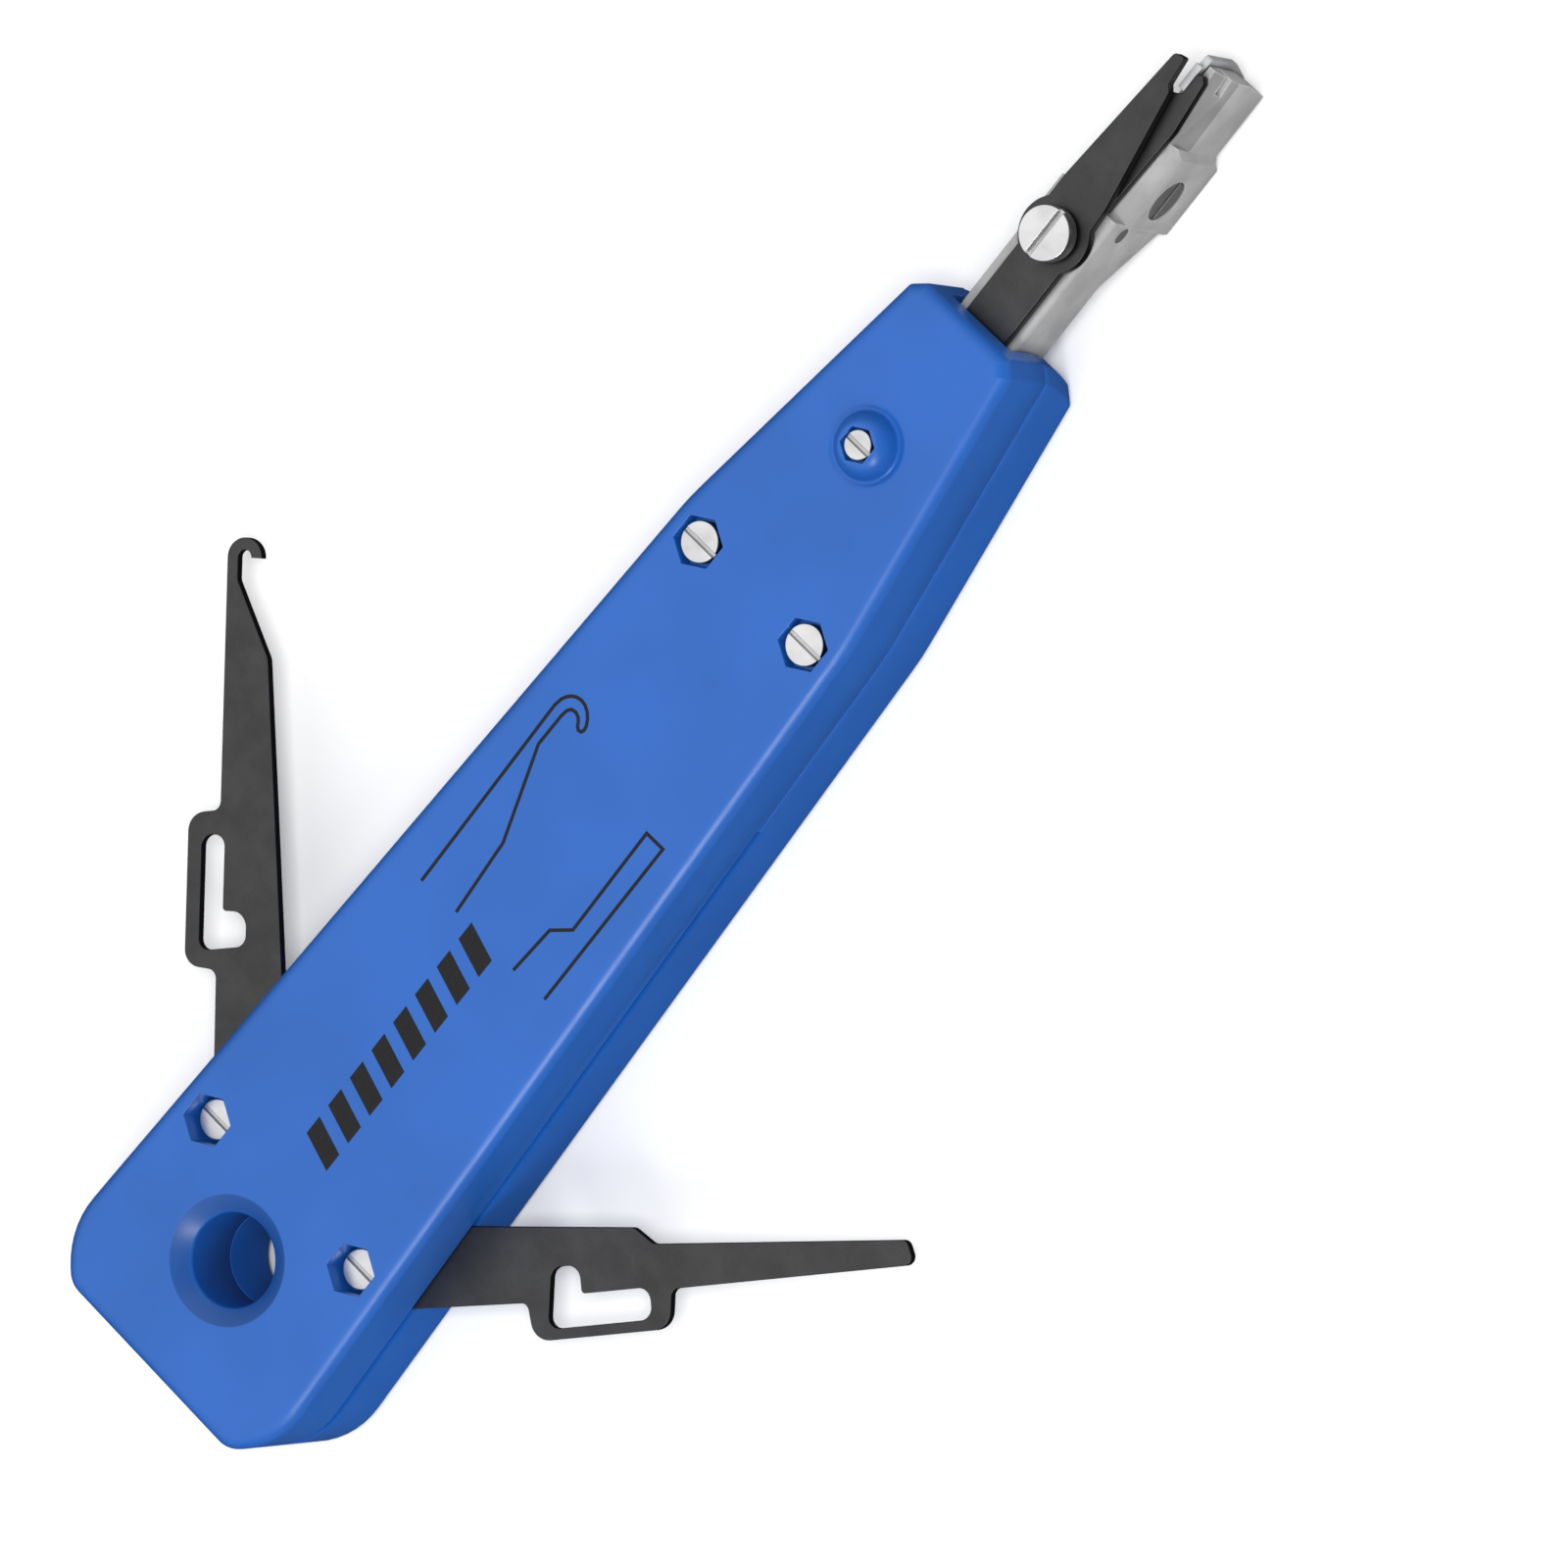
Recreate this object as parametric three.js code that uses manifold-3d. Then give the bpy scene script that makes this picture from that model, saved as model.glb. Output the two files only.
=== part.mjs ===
// A punch down tool for telephone and network terminal blocks: a two-shell handle with a
// spring-loaded head, a scissor cutter worked by a cam, and a hook and a spudger that fold
// into slots in the handle's sides.
//
// Millimetres, +Z up. The tool lies on its back: z = 0 is the handle's back face and +Z leaves
// the front face. +Y runs along the handle to the head, +X to the right seen from the front.
// The origin is on the back face, midway between the two tail screws.
import * as THREE from "three";
import { ConvexGeometry } from "three/addons/geometries/ConvexGeometry.js";
import { mergeVertices } from "three/addons/utils/BufferGeometryUtils.js";
import Module from "manifold-3d";

const wasm = await Module();
wasm.setup();

// ---------------------------------------------------------------- driving dimensions

// Handle
const THICK = 18;
const MID = THICK / 2;
const SEAM = 0.05; // each shell's face stands back this far from the parting plane
const TAIL_Y = -23.5;
const END_Y = 114;
const TAIL_CORNER = { x: 12.2, endRound: 3, y: -19.3, sideRound: 9.6 }; // a rounded 45 degree cut
const TAIL_TAPER = 0.0449; // loss of half width per mm, tail to bend
const HEAD_TAPER = 0.1467; // the same, bend to head
const HALF_WIDTH_0 = 15.46; // half width at y = 0
const BEND_Y = 81.7;
const BEND_ROUND = 30;
const EDGE_ROUND = 1.8;
const END_CHAMFER = 1.3;
const CORING = { wall: 2.4, half: 4, length: 16, tails: [3.5, 21.5, 39.5] };
const SWEEP = { top: 11.2, radius: 26 }; // curve of the back shell's end, below this height
const FAR = 40; // reach of a cutter that must pass right through
const PAST = 1; // how far a cutter runs past the face that it opens

// Screws, nuts and their pockets
const TAIL_SCREW_X = 11.07;
const UPPER_SCREW = { x: 7.66, y: 79.35 };
const M25 = { shank: 1.25, hole: 1.4, head: 2.1, headTall: 1.7, hex: 2.77, nut: 2.55, nutTall: 1.8 };
const M2 = { shank: 1.0, hole: 1.1, head: 1.5, headTall: 1.2, hex: 1.91, nut: 1.75, nutTall: 1.4 };
const SLOT_WIDE = 0.6;
const SLOT_DEEP = 0.6;
const TAIL_SUNK = 2.1; // depth of the tail screws' heads below the face
const UPPER_SUNK = 0.3;
const CAM_SUNK = 0.2; // depth of the cam screw's head below the dome's top
const NUT_SUNK = 0.3;
const NUT_SLACK = 0.2; // room between a nut and its pocket's floor
const SCREW_TIP = 0.5; // height of the shanks' ends above the back face

// Lanyard hole in the tail
const HOLE = { y: -8.93, bore: 4.78, mouth: 6.63, sink: 1.31, boss: 7.5 };

// Domed boss that holds the cam screw
const CAM_Y = 98.2;
const DOME = { base: 3.2, rise: 2.0, ring: 4.0, ringDeep: 0.6 };

// Folding blades and the slot that they fold into
const BLADE_THICK = 1.0;
const BLADE_SLOT = 1.3;
const SLOT_END_Y = 59.7;
const ISLAND = { nearTail: 5.7, nearHead: 7.6 };
const HOOK_ANGLE = 129.9;
const SPUDGER_ANGLE = 47.8;

// Sliding head and its spring
const SLIDE = 7.5;
const ARM = { half: 3.8, back: 5.3, front: 12.2, tail: 84, end: 129.5 };
const CHANNEL = { half: 4.1, back: 5.0, front: 12.5 };
const MOUTH = { half: 4.2, back: 4.9, front: 14.2 };
const LEVER_BAY = { left: 6.5, right: 5.1, tail: 86, leftEnd: 95, leftNeck: 107.4, neck: 111.6 };
const SPRING = { tail: 62.8, head: 83.6, radius: 2.5, wire: 0.35, turns: 8 };
const SPRING_Z = (ARM.back + ARM.front) / 2;
const GUIDE = { radius: 1.35, tail: 70.2, seat: 5 };
const PLATE = { half: 5, thick: 1.2, y: 62.5, back: 4.2, front: 13.3 };
const ROLLER = { outer: 1.5, inner: 1.15 };
const RUN = 0.1; // running clearance

// The head's block, its cheek and the insertion blade between them
const BLOCK = { half: 4.0, back: 0.3, front: 11.1, round: 2.6, step: 129.4, end: 138.9 };
const CHEEK = { inner: 1.0, outer: 3.4, back: 1.3, end: 147.2 };
const TIP_SLOT = { floor: 2.3, tail: 145.0, back: 8.9, front: 10.0 };
const BLADE_GAP = { low: -0.05, high: 0.95, tail: 127.2, back: 2.6 };
const SIDE_SCREW = { y: 133.3, z: 5.7, head: 2.3, shank: 1.2, seat: 2.6, tip: -3.6 };
const SIDE_PIN = { y: 128.5, z: 8.8, radius: 0.85, low: -3.7, high: 3.75 };
const PIN_ROOM = 0.06; // radial room round the locating pin

// Cutter lever and its pivot
const PIVOT_Y = 125.2;
const LEVER = { back: 12.4, front: 13.6, boss: 3.85 };
const LEVER_SCREW = { shank: 1.5, head: 2.75, headTall: 1.7, tip: 7 };
const WASHER = { low: LEVER.front + 0.08, high: LEVER.front + 0.48, radius: 2.5 };
const CLOSING = THREE.MathUtils.degToRad(5.5); // turn of the lever over the head's whole travel

// ---------------------------------------------------------------- shapes

const ARC_STEP = Math.PI / 10;

// Points of a closed outline whose corners are [x, y] or [x, y, radius].
function outline(corners) {
  const points = [];
  corners.forEach(([x, y, radius = 0], i) => {
    const corner = new THREE.Vector2(x, y);
    if (!radius) {
      points.push(corner);
      return;
    }
    const before = corners[(i + corners.length - 1) % corners.length];
    const after = corners[(i + 1) % corners.length];
    const back = new THREE.Vector2(before[0] - x, before[1] - y).normalize();
    const ahead = new THREE.Vector2(after[0] - x, after[1] - y).normalize();
    const half = Math.acos(THREE.MathUtils.clamp(back.dot(ahead), -1, 1)) / 2;
    const middle = back.clone().add(ahead).normalize();
    const centre = corner.clone().addScaledVector(middle, radius / Math.sin(half));
    const start = corner.clone().addScaledVector(back, radius / Math.tan(half)).sub(centre);
    const turn = (Math.PI - 2 * half) * Math.sign(ahead.cross(back));
    const steps = Math.max(2, Math.ceil(Math.abs(turn) / ARC_STEP));
    for (let k = 0; k <= steps; k += 1) {
      const angle = (turn * k) / steps;
      points.push(start.clone().rotateAround(new THREE.Vector2(), angle).add(centre));
    }
  });
  return points;
}

// A plate with the given outline between two heights.
function plate(corners, low, high) {
  const shape = new THREE.Shape(outline(corners));
  const geometry = new THREE.ExtrudeGeometry(shape, { depth: high - low, bevelEnabled: false });
  return geometry.translate(0, 0, low);
}

// The plate stood up so that its outline is (y, z) and its thickness runs along X.
function sidePlate(corners, low, high) {
  const turn = new THREE.Matrix4().makeBasis(
    new THREE.Vector3(0, 1, 0),
    new THREE.Vector3(0, 0, 1),
    new THREE.Vector3(1, 0, 0),
  );
  return plate(corners, low, high).applyMatrix4(turn);
}

// The plate stood up so that its outline is (z, x) and its thickness runs along Y.
function endPlate(corners, low, high) {
  const turn = new THREE.Matrix4().makeBasis(
    new THREE.Vector3(0, 0, 1),
    new THREE.Vector3(1, 0, 0),
    new THREE.Vector3(0, 1, 0),
  );
  return plate(corners, low, high).applyMatrix4(turn);
}

function box([x0, y0, z0], [x1, y1, z1]) {
  const geometry = new THREE.BoxGeometry(x1 - x0, y1 - y0, z1 - z0);
  return geometry.translate((x0 + x1) / 2, (y0 + y1) / 2, (z0 + z1) / 2);
}

// An upright cylinder or cone frustum between two heights.
function post(x, y, radius, low, high, { top = radius, sides = 20 } = {}) {
  const geometry = new THREE.CylinderGeometry(top, radius, high - low, sides);
  return geometry.rotateX(Math.PI / 2).translate(x, y, (low + high) / 2);
}

// A hexagonal prism with two of its corners on the line along Y.
function hexagon(x, y, radius, low, high) {
  const geometry = new THREE.CylinderGeometry(radius, radius, high - low, 6);
  return geometry.rotateX(Math.PI / 2).translate(x, y, (low + high) / 2);
}

// A cylinder along X.
function crossPost(y, z, radius, low, high, sides = 20) {
  const geometry = new THREE.CylinderGeometry(radius, radius, high - low, sides);
  return geometry.rotateZ(Math.PI / 2).translate((low + high) / 2, y, z);
}

// A cylinder along Y.
function longPost(x, z, radius, low, high, sides = 16) {
  const geometry = new THREE.CylinderGeometry(radius, radius, high - low, sides);
  return geometry.translate(x, (low + high) / 2, z);
}

// ---------------------------------------------------------------- solids

function solid(geometry) {
  const bare = geometry.index ? geometry.toNonIndexed() : geometry.clone();
  bare.deleteAttribute("normal");
  bare.deleteAttribute("uv");
  const merged = mergeVertices(bare, 1e-4);
  return new wasm.Manifold(
    new wasm.Mesh({
      numProp: 3,
      vertProperties: merged.attributes.position.array,
      triVerts: new Uint32Array(merged.index.array),
    }),
  );
}

const cut = (body, ...geometries) => geometries.reduce((s, g) => s.subtract(solid(g)), body);
const join = (body, ...geometries) => geometries.reduce((s, g) => s.add(solid(g)), body);
const keep = (body, ...geometries) => geometries.reduce((s, g) => s.intersect(solid(g)), body);

function geometryOf(body) {
  const { vertProperties, triVerts } = body.getMesh();
  const geometry = new THREE.BufferGeometry();
  geometry.setAttribute("position", new THREE.BufferAttribute(vertProperties, 3));
  geometry.setIndex(new THREE.BufferAttribute(triVerts, 1));
  const flat = geometry.toNonIndexed();
  flat.computeVertexNormals();
  return flat;
}

// ---------------------------------------------------------------- handle shells

const halfWidth = (y) =>
  y < BEND_Y
    ? HALF_WIDTH_0 - TAIL_TAPER * y
    : HALF_WIDTH_0 - TAIL_TAPER * BEND_Y - HEAD_TAPER * (y - BEND_Y);

function handleOutline() {
  const cornerY = END_Y - END_CHAMFER;
  const right = [
    [TAIL_CORNER.x, TAIL_Y, TAIL_CORNER.endRound],
    [halfWidth(TAIL_CORNER.y), TAIL_CORNER.y, TAIL_CORNER.sideRound],
    [halfWidth(BEND_Y), BEND_Y, BEND_ROUND],
    [halfWidth(cornerY), cornerY],
    [halfWidth(END_Y) - END_CHAMFER, END_Y],
  ];
  const left = right.map(([x, ...rest]) => [-x, ...rest]).reverse();
  return [...right, ...left];
}

// The whole handle as one block with rounded front and back edges.
function handleBlock() {
  const shape = new THREE.Shape(outline(handleOutline()));
  const geometry = new THREE.ExtrudeGeometry(shape, {
    depth: THICK - 2 * EDGE_ROUND,
    bevelThickness: EDGE_ROUND,
    bevelSize: EDGE_ROUND,
    bevelOffset: -EDGE_ROUND,
    bevelSegments: 4,
  });
  return solid(geometry.translate(0, 0, EDGE_ROUND));
}

// The slot round the tail that both blades fold into, less the island between them.
function bladeSlot() {
  const low = MID - BLADE_SLOT / 2;
  const high = MID + BLADE_SLOT / 2;
  const island = [
    [-ISLAND.nearTail, HOLE.y],
    [ISLAND.nearTail, HOLE.y],
    [ISLAND.nearTail, 0],
    [ISLAND.nearHead, SLOT_END_Y + 1],
    [-ISLAND.nearHead, SLOT_END_Y + 1],
    [-ISLAND.nearTail, 0],
  ];
  const slot = solid(box([-FAR, -FAR, low], [FAR, SLOT_END_Y, high]));
  return cut(slot, plate(island, 0, THICK), post(0, HOLE.y, HOLE.boss, 0, THICK, { sides: 40 }));
}

// The passages for the head, the spring, its backing plate and the lever's arm.
function headPassages() {
  const bay = LEVER_BAY;
  const neck = MOUTH.half;
  const lever = [
    [-bay.left, bay.tail],
    [bay.right, bay.tail],
    [bay.right, bay.neck - PAST],
    [neck, bay.neck],
    [neck, END_Y + PAST],
    [-neck, END_Y + PAST],
    [-neck, bay.leftNeck],
    [-bay.left, bay.leftEnd],
  ];
  const plateBay = PLATE.half + 2 * RUN;
  return [
    box([-CHANNEL.half, PLATE.y, CHANNEL.back], [CHANNEL.half, END_Y + PAST, CHANNEL.front]),
    box(
      [-plateBay, PLATE.y - PLATE.thick - RUN, PLATE.back - 2 * RUN],
      [plateBay, PLATE.y + RUN, PLATE.front + 2 * RUN],
    ),
    plate(lever, CHANNEL.front - RUN, MOUTH.front),
    box([-neck, END_Y - 2, MOUTH.back], [neck, END_Y + PAST, MOUTH.front]),
  ];
}

// Bays that keep the moulding's walls even, with ribs left between them.
function coringBays(low, high) {
  return CORING.tails.map((y) =>
    box(
      [-CORING.half, y, Math.max(low, CORING.wall)],
      [CORING.half, y + CORING.length, Math.min(high, THICK - CORING.wall)],
    ),
  );
}

// A half of the handle, from its parting face to the outside, with the lanyard hole and the
// pockets that both halves have. The front half's pockets hold screw heads, the back's nuts.
function shellHalf(isFront) {
  const low = isFront ? MID + SEAM : -PAST;
  const high = isFront ? THICK + PAST : MID - SEAM;
  const half = keep(handleBlock(), box([-FAR, -FAR, low], [FAR, END_Y + PAST, high]));
  const mouthWalls = isFront
    ? post(0, HOLE.y, HOLE.bore, THICK - HOLE.sink, THICK + 0.01, { sides: 40, top: HOLE.mouth })
    : post(0, HOLE.y, HOLE.mouth, -0.01, HOLE.sink, { sides: 40, top: HOLE.bore });
  const shaped = cut(
    half.subtract(bladeSlot()),
    post(0, HOLE.y, HOLE.bore, -PAST, THICK + PAST, { sides: 40 }),
    mouthWalls,
    ...headPassages(),
    ...coringBays(low, high),
    post(0, CAM_Y, M2.hole, -PAST, FAR, { sides: 16 }),
  );
  const nutPocket = NUT_SUNK + M25.nutTall + NUT_SLACK;
  const places = [
    [TAIL_SCREW_X, 0, isFront ? TAIL_SUNK + M25.headTall : nutPocket],
    [UPPER_SCREW.x, UPPER_SCREW.y, isFront ? UPPER_SUNK + M25.headTall : nutPocket],
  ];
  const cutters = places.flatMap(([x, y, deep]) =>
    [-x, x].flatMap((at) => [
      post(at, y, M25.hole, -PAST, THICK + PAST, { sides: 16 }),
      isFront
        ? hexagon(at, y, M25.hex, THICK - deep, THICK + PAST)
        : hexagon(at, y, M25.hex, -PAST, deep),
    ]),
  );
  return cut(shaped, ...cutters);
}

// The domed boss: a spherical cap on a short foot that sinks into the shell.
function domeCap() {
  const radius = (DOME.base ** 2 + DOME.rise ** 2) / (2 * DOME.rise);
  const edge = Math.asin(DOME.base / radius);
  const steps = 6;
  const profile = [new THREE.Vector2(0, -1), new THREE.Vector2(DOME.base, -1)];
  for (let k = 0; k <= steps; k += 1) {
    const angle = edge * (1 - k / steps);
    const height = DOME.rise - radius * (1 - Math.cos(angle));
    profile.push(new THREE.Vector2(radius * Math.sin(angle), height));
  }
  return new THREE.LatheGeometry(profile, 28).rotateX(Math.PI / 2).translate(0, CAM_Y, THICK);
}

function frontShell() {
  const ring = post(0, CAM_Y, DOME.ring, THICK - DOME.ringDeep, THICK + PAST, { sides: 28 });
  const pocketFloor = THICK + DOME.rise - CAM_SUNK - M2.headTall;
  return cut(
    join(cut(shellHalf(true), ring), domeCap()),
    post(0, CAM_Y, M2.hole, MOUTH.front - PAST, FAR, { sides: 16 }),
    hexagon(0, CAM_Y, M2.hex, pocketFloor, FAR),
  );
}

// The end of the back shell sweeps back towards the tail in a long curve.
function backShell() {
  const steps = 6;
  const low = -PAST;
  const high = SWEEP.top - PAST;
  const curve = [];
  for (let k = 0; k <= steps; k += 1) {
    const z = THREE.MathUtils.lerp(low, high, k / steps);
    curve.push([END_Y - (SWEEP.top - z) ** 2 / (2 * SWEEP.radius), z]);
  }
  const beyond = [[END_Y + FAR, low], [END_Y + FAR, high], ...curve.reverse()];
  return cut(
    shellHalf(false),
    sidePlate(beyond, -FAR, FAR),
    hexagon(0, CAM_Y, M2.hex, -PAST, NUT_SUNK + M2.nutTall + NUT_SLACK),
  );
}

// ---------------------------------------------------------------- fasteners

// A slotted screw that points down from a head whose top is at the given height.
function slottedScrew(x, y, size, top, tip, along = "x") {
  const under = top - size.headTall;
  const half = size.head + 1;
  const deep = top - SLOT_DEEP;
  const slot =
    along === "x"
      ? box([x - half, y - SLOT_WIDE / 2, deep], [x + half, y + SLOT_WIDE / 2, top + 1])
      : box([x - SLOT_WIDE / 2, y - half, deep], [x + SLOT_WIDE / 2, y + half, top + 1]);
  const head = solid(post(x, y, size.head, under, top));
  return cut(join(head, post(x, y, size.shank, tip, under + 0.2, { sides: 16 })), slot);
}

function hexNut(x, y, size) {
  const body = solid(hexagon(x, y, size.nut, NUT_SUNK, NUT_SUNK + size.nutTall));
  return cut(body, post(x, y, size.hole - RUN / 2, -PAST, MID, { sides: 16 }));
}

// ---------------------------------------------------------------- folding blades
// A blade's own frame: x runs along it from its pivot and y points away from the handle's
// middle on the hook, or towards it on the spudger.

const ROOT_RADIUS = 4.3;

function foldingBlade(corners, opening, mirror) {
  const flip = ([x, y, ...radius]) => [x, mirror * y, ...radius];
  const order = (list) => (mirror < 0 ? list.map(flip).reverse() : list);
  const low = MID - BLADE_THICK / 2;
  const high = MID + BLADE_THICK / 2;
  const root = post(0, 0, ROOT_RADIUS, low, high, { sides: 32 });
  return cut(
    join(solid(plate(order(corners), low, high)), root),
    plate(order(opening), 0, THICK),
    post(0, 0, M25.shank + 2 * RUN, 0, THICK, { sides: 16 }),
  );
}

// The round end of the hook: an arc from the blade's outer edge over its tip to the throat.
function hookEnd(centre, outer, inner, sweep) {
  const arc = (radius, from, to) => {
    const points = [];
    for (let k = 0; k <= 8; k += 1) {
      const angle = from + ((to - from) * k) / 8;
      points.push([centre[0] + radius * Math.sin(angle), centre[1] + radius * Math.cos(angle)]);
    }
    return points;
  };
  return [...arc(inner, 0, sweep), ...arc(outer, sweep, 0)];
}

function hookBlade() {
  const corners = [
    [0, -4.3],
    [14.2, -3.3],
    [46.4, -0.6, 2],
    [54.3, 3.2, 1],
    ...hookEnd([56.6, 2.45], 2.0, 0.75, Math.PI * 1.02),
    [31, 4.45, 1],
    [30.6, 8.15, 2],
    [15.2, 8.15, 1.8],
    [14.8, 4.45, 1],
    [0, ROOT_RADIUS],
  ];
  const opening = [
    [17.3, 1.1, 1.2],
    [20.8, 1.1, 1.6],
    [20.8, 3.85, 0.4],
    [28.5, 3.85, 1.2],
    [28.5, 6.5, 1.2],
    [16.7, 6.5, 1.1],
  ];
  return foldingBlade(corners, opening, 1);
}

function spudgerBlade() {
  const corners = [
    [0, -3.4],
    [27.6, -1.5, 1],
    [29.6, 0.3, 1],
    [57.4, 2.4, 0.8],
    [58.0, 4.9, 0.9],
    [31.2, 4.9, 0.8],
    [30.6, 8.8, 2],
    [15.3, 8.8, 2],
    [14.9, 4.9, 0.8],
    [0, ROOT_RADIUS + 0.3],
  ];
  const opening = [
    [18.0, 1.6, 1.2],
    [21.1, 1.6, 1.4],
    [21.1, 4.5, 0.4],
    [28.7, 4.5, 1.3],
    [28.7, 7.7, 1.3],
    [17.0, 7.7, 1.1],
  ];
  return foldingBlade(corners, opening, -1);
}

// ---------------------------------------------------------------- sliding head

// The casting seen from its side: the arm, the slant down to the block, the block and the cheek.
function castingSide() {
  return [
    [ARM.tail, ARM.back],
    [122.3, ARM.back],
    [BLOCK.step, 1.7],
    [BLOCK.step, BLOCK.back],
    [137.6, BLOCK.back],
    [138.3, CHEEK.back],
    [146.4, CHEEK.back],
    [CHEEK.end, 5.6],
    [CHEEK.end, ARM.front + PAST],
    [ARM.tail, ARM.front + PAST],
  ];
}

// A section of the casting across Y, square at the back and rounded along its front edges.
const frontRounded = (half, front, radius) => [
  [0, -half],
  [front, -half, radius],
  [front, half, radius],
  [0, half],
];

// The cheek beside the insertion blade, whose front narrows towards the tip.
function cheekGeometry() {
  const sections = [
    { y: BLOCK.end - 2, front: 2.6, knee: 7.5 },
    { y: CHEEK.end, front: 1.7, knee: 8.2 },
  ];
  const corners = sections.flatMap(({ y, front, knee }) => [
    new THREE.Vector3(CHEEK.inner, y, 0),
    new THREE.Vector3(CHEEK.outer, y, 0),
    new THREE.Vector3(CHEEK.outer, y, knee),
    new THREE.Vector3(front, y, BLOCK.front),
    new THREE.Vector3(CHEEK.inner, y, BLOCK.front),
  ]);
  return new ConvexGeometry(corners);
}

// The holes through the head for the blade's screw and its locating pin.
function sideHoles(room) {
  return [
    crossPost(SIDE_SCREW.y, SIDE_SCREW.z, SIDE_SCREW.shank + room, -MID, MID, 16),
    crossPost(SIDE_PIN.y, SIDE_PIN.z, SIDE_PIN.radius + PIN_ROOM, -MID, MID, 12),
  ];
}

function headCasting() {
  const shoulder = BLOCK.end - 0.9;
  const blockPlan = [
    [-BLOCK.half, ARM.end - PAST],
    [BLOCK.half, ARM.end - PAST],
    [BLOCK.half, shoulder],
    [CHEEK.outer, BLOCK.end],
    [-CHEEK.outer, BLOCK.end],
    [-BLOCK.half, shoulder],
  ];
  const arm = solid(endPlate(frontRounded(ARM.half, ARM.front, 0.7), ARM.tail, ARM.end));
  const blockSection = frontRounded(BLOCK.half, BLOCK.front, BLOCK.round);
  const block = keep(
    solid(endPlate(blockSection, ARM.end - 2 * RUN, BLOCK.end)),
    plate(blockPlan, -PAST, ARM.front),
  );
  const whole = join(arm.add(block), cheekGeometry());
  const slotHalf = ROLLER.outer + 2 * RUN;
  const camSlot = [
    [-slotHalf, CAM_Y - slotHalf],
    [slotHalf, CAM_Y - slotHalf],
    [slotHalf, CAM_Y + SLIDE + slotHalf],
    [-slotHalf, CAM_Y + SLIDE + slotHalf],
  ].map((corner) => [...corner, slotHalf - 2 * RUN]);
  const { low, high, tail, back } = BLADE_GAP;
  return cut(
    keep(whole, sidePlate(castingSide(), -MID, MID)),
    plate(camSlot, 0, THICK),
    box([low, tail, back], [high, CHEEK.end + PAST, THICK]),
    post(0, PIVOT_Y, LEVER_SCREW.shank + RUN, LEVER_SCREW.tip - 2 * RUN, THICK, { sides: 16 }),
    longPost(0, SPRING_Z, GUIDE.radius + RUN, ARM.tail - PAST, ARM.tail + GUIDE.seat),
    ...sideHoles(RUN),
    crossPost(SIDE_SCREW.y, SIDE_SCREW.z, SIDE_SCREW.head + RUN, SIDE_SCREW.seat, MID),
    box([TIP_SLOT.floor, TIP_SLOT.tail, TIP_SLOT.back], [MID, CHEEK.end + PAST, TIP_SLOT.front]),
  );
}

function insertionBlade() {
  const profile = [
    [127.4, 2.8],
    [139.2, 2.8],
    [139.2, 1.6],
    [146.5, 1.6],
    [147.9, 5.4],
    [147.9, 11.2],
    [146.8, 11.3],
    [146.8, 12.1],
    [143.9, 12.1],
    [143.9, 10.9],
    [127.4, 10.9],
  ];
  return cut(solid(sidePlate(profile, BLADE_GAP.low + RUN, BLADE_GAP.high - RUN)), ...sideHoles(RUN));
}

function fixedJaw() {
  const corners = [
    [-2.3, 129.9],
    [2.35, 129.9],
    [2.75, 140.3],
    [2.1, 145.8, 0.4],
    [1.5, 146.4, 0.3],
    [0.98, 145.9],
    [0.98, 143.6, 0.7],
    [-0.4, 142.9, 0.5],
    [-2.6, 138],
  ];
  return solid(plate(corners, BLOCK.front + RUN, LEVER.back - RUN));
}

function bladeScrew() {
  const { y, z, head, shank, seat, tip } = SIDE_SCREW;
  const outer = BLOCK.half - RUN;
  const body = join(
    solid(crossPost(y, z, head, seat + RUN, outer, 24)),
    crossPost(y, z, shank, tip, seat + 2 * RUN, 16),
  );
  const deep = outer - SLOT_DEEP;
  const half = SLOT_WIDE / 2;
  return cut(body, box([deep, y - MID, z - half], [outer + PAST, y + MID, z + half]));
}

function locatingPin() {
  return solid(crossPost(SIDE_PIN.y, SIDE_PIN.z, SIDE_PIN.radius, SIDE_PIN.low, SIDE_PIN.high, 12));
}

// ---------------------------------------------------------------- cutter lever

// Where the cam roller lies in the lever's own frame when the head has gone in by s.
function rollerPath(s) {
  const below = PIVOT_Y - CAM_Y - s;
  const turn = (CLOSING * s) / SLIDE;
  return new THREE.Vector2(below * Math.sin(turn), -below * Math.cos(turn));
}

function camSlot() {
  const radius = ROLLER.outer + 2 * RUN;
  const past = 0.4;
  const stops = [-past, 0, SLIDE / 3, (2 * SLIDE) / 3, SLIDE, SLIDE + past].map(rollerPath);
  const across = stops.map((point, i) => {
    const before = stops[Math.max(i - 1, 0)];
    const after = stops[Math.min(i + 1, stops.length - 1)];
    const along = after.clone().sub(before).normalize();
    return new THREE.Vector2(-along.y, along.x).multiplyScalar(radius);
  });
  const left = stops.map((point, i) => point.clone().add(across[i]));
  const right = stops.map((point, i) => point.clone().sub(across[i]));
  return [...right, ...left.reverse()].map(({ x, y }) => [x, y]);
}

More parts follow.
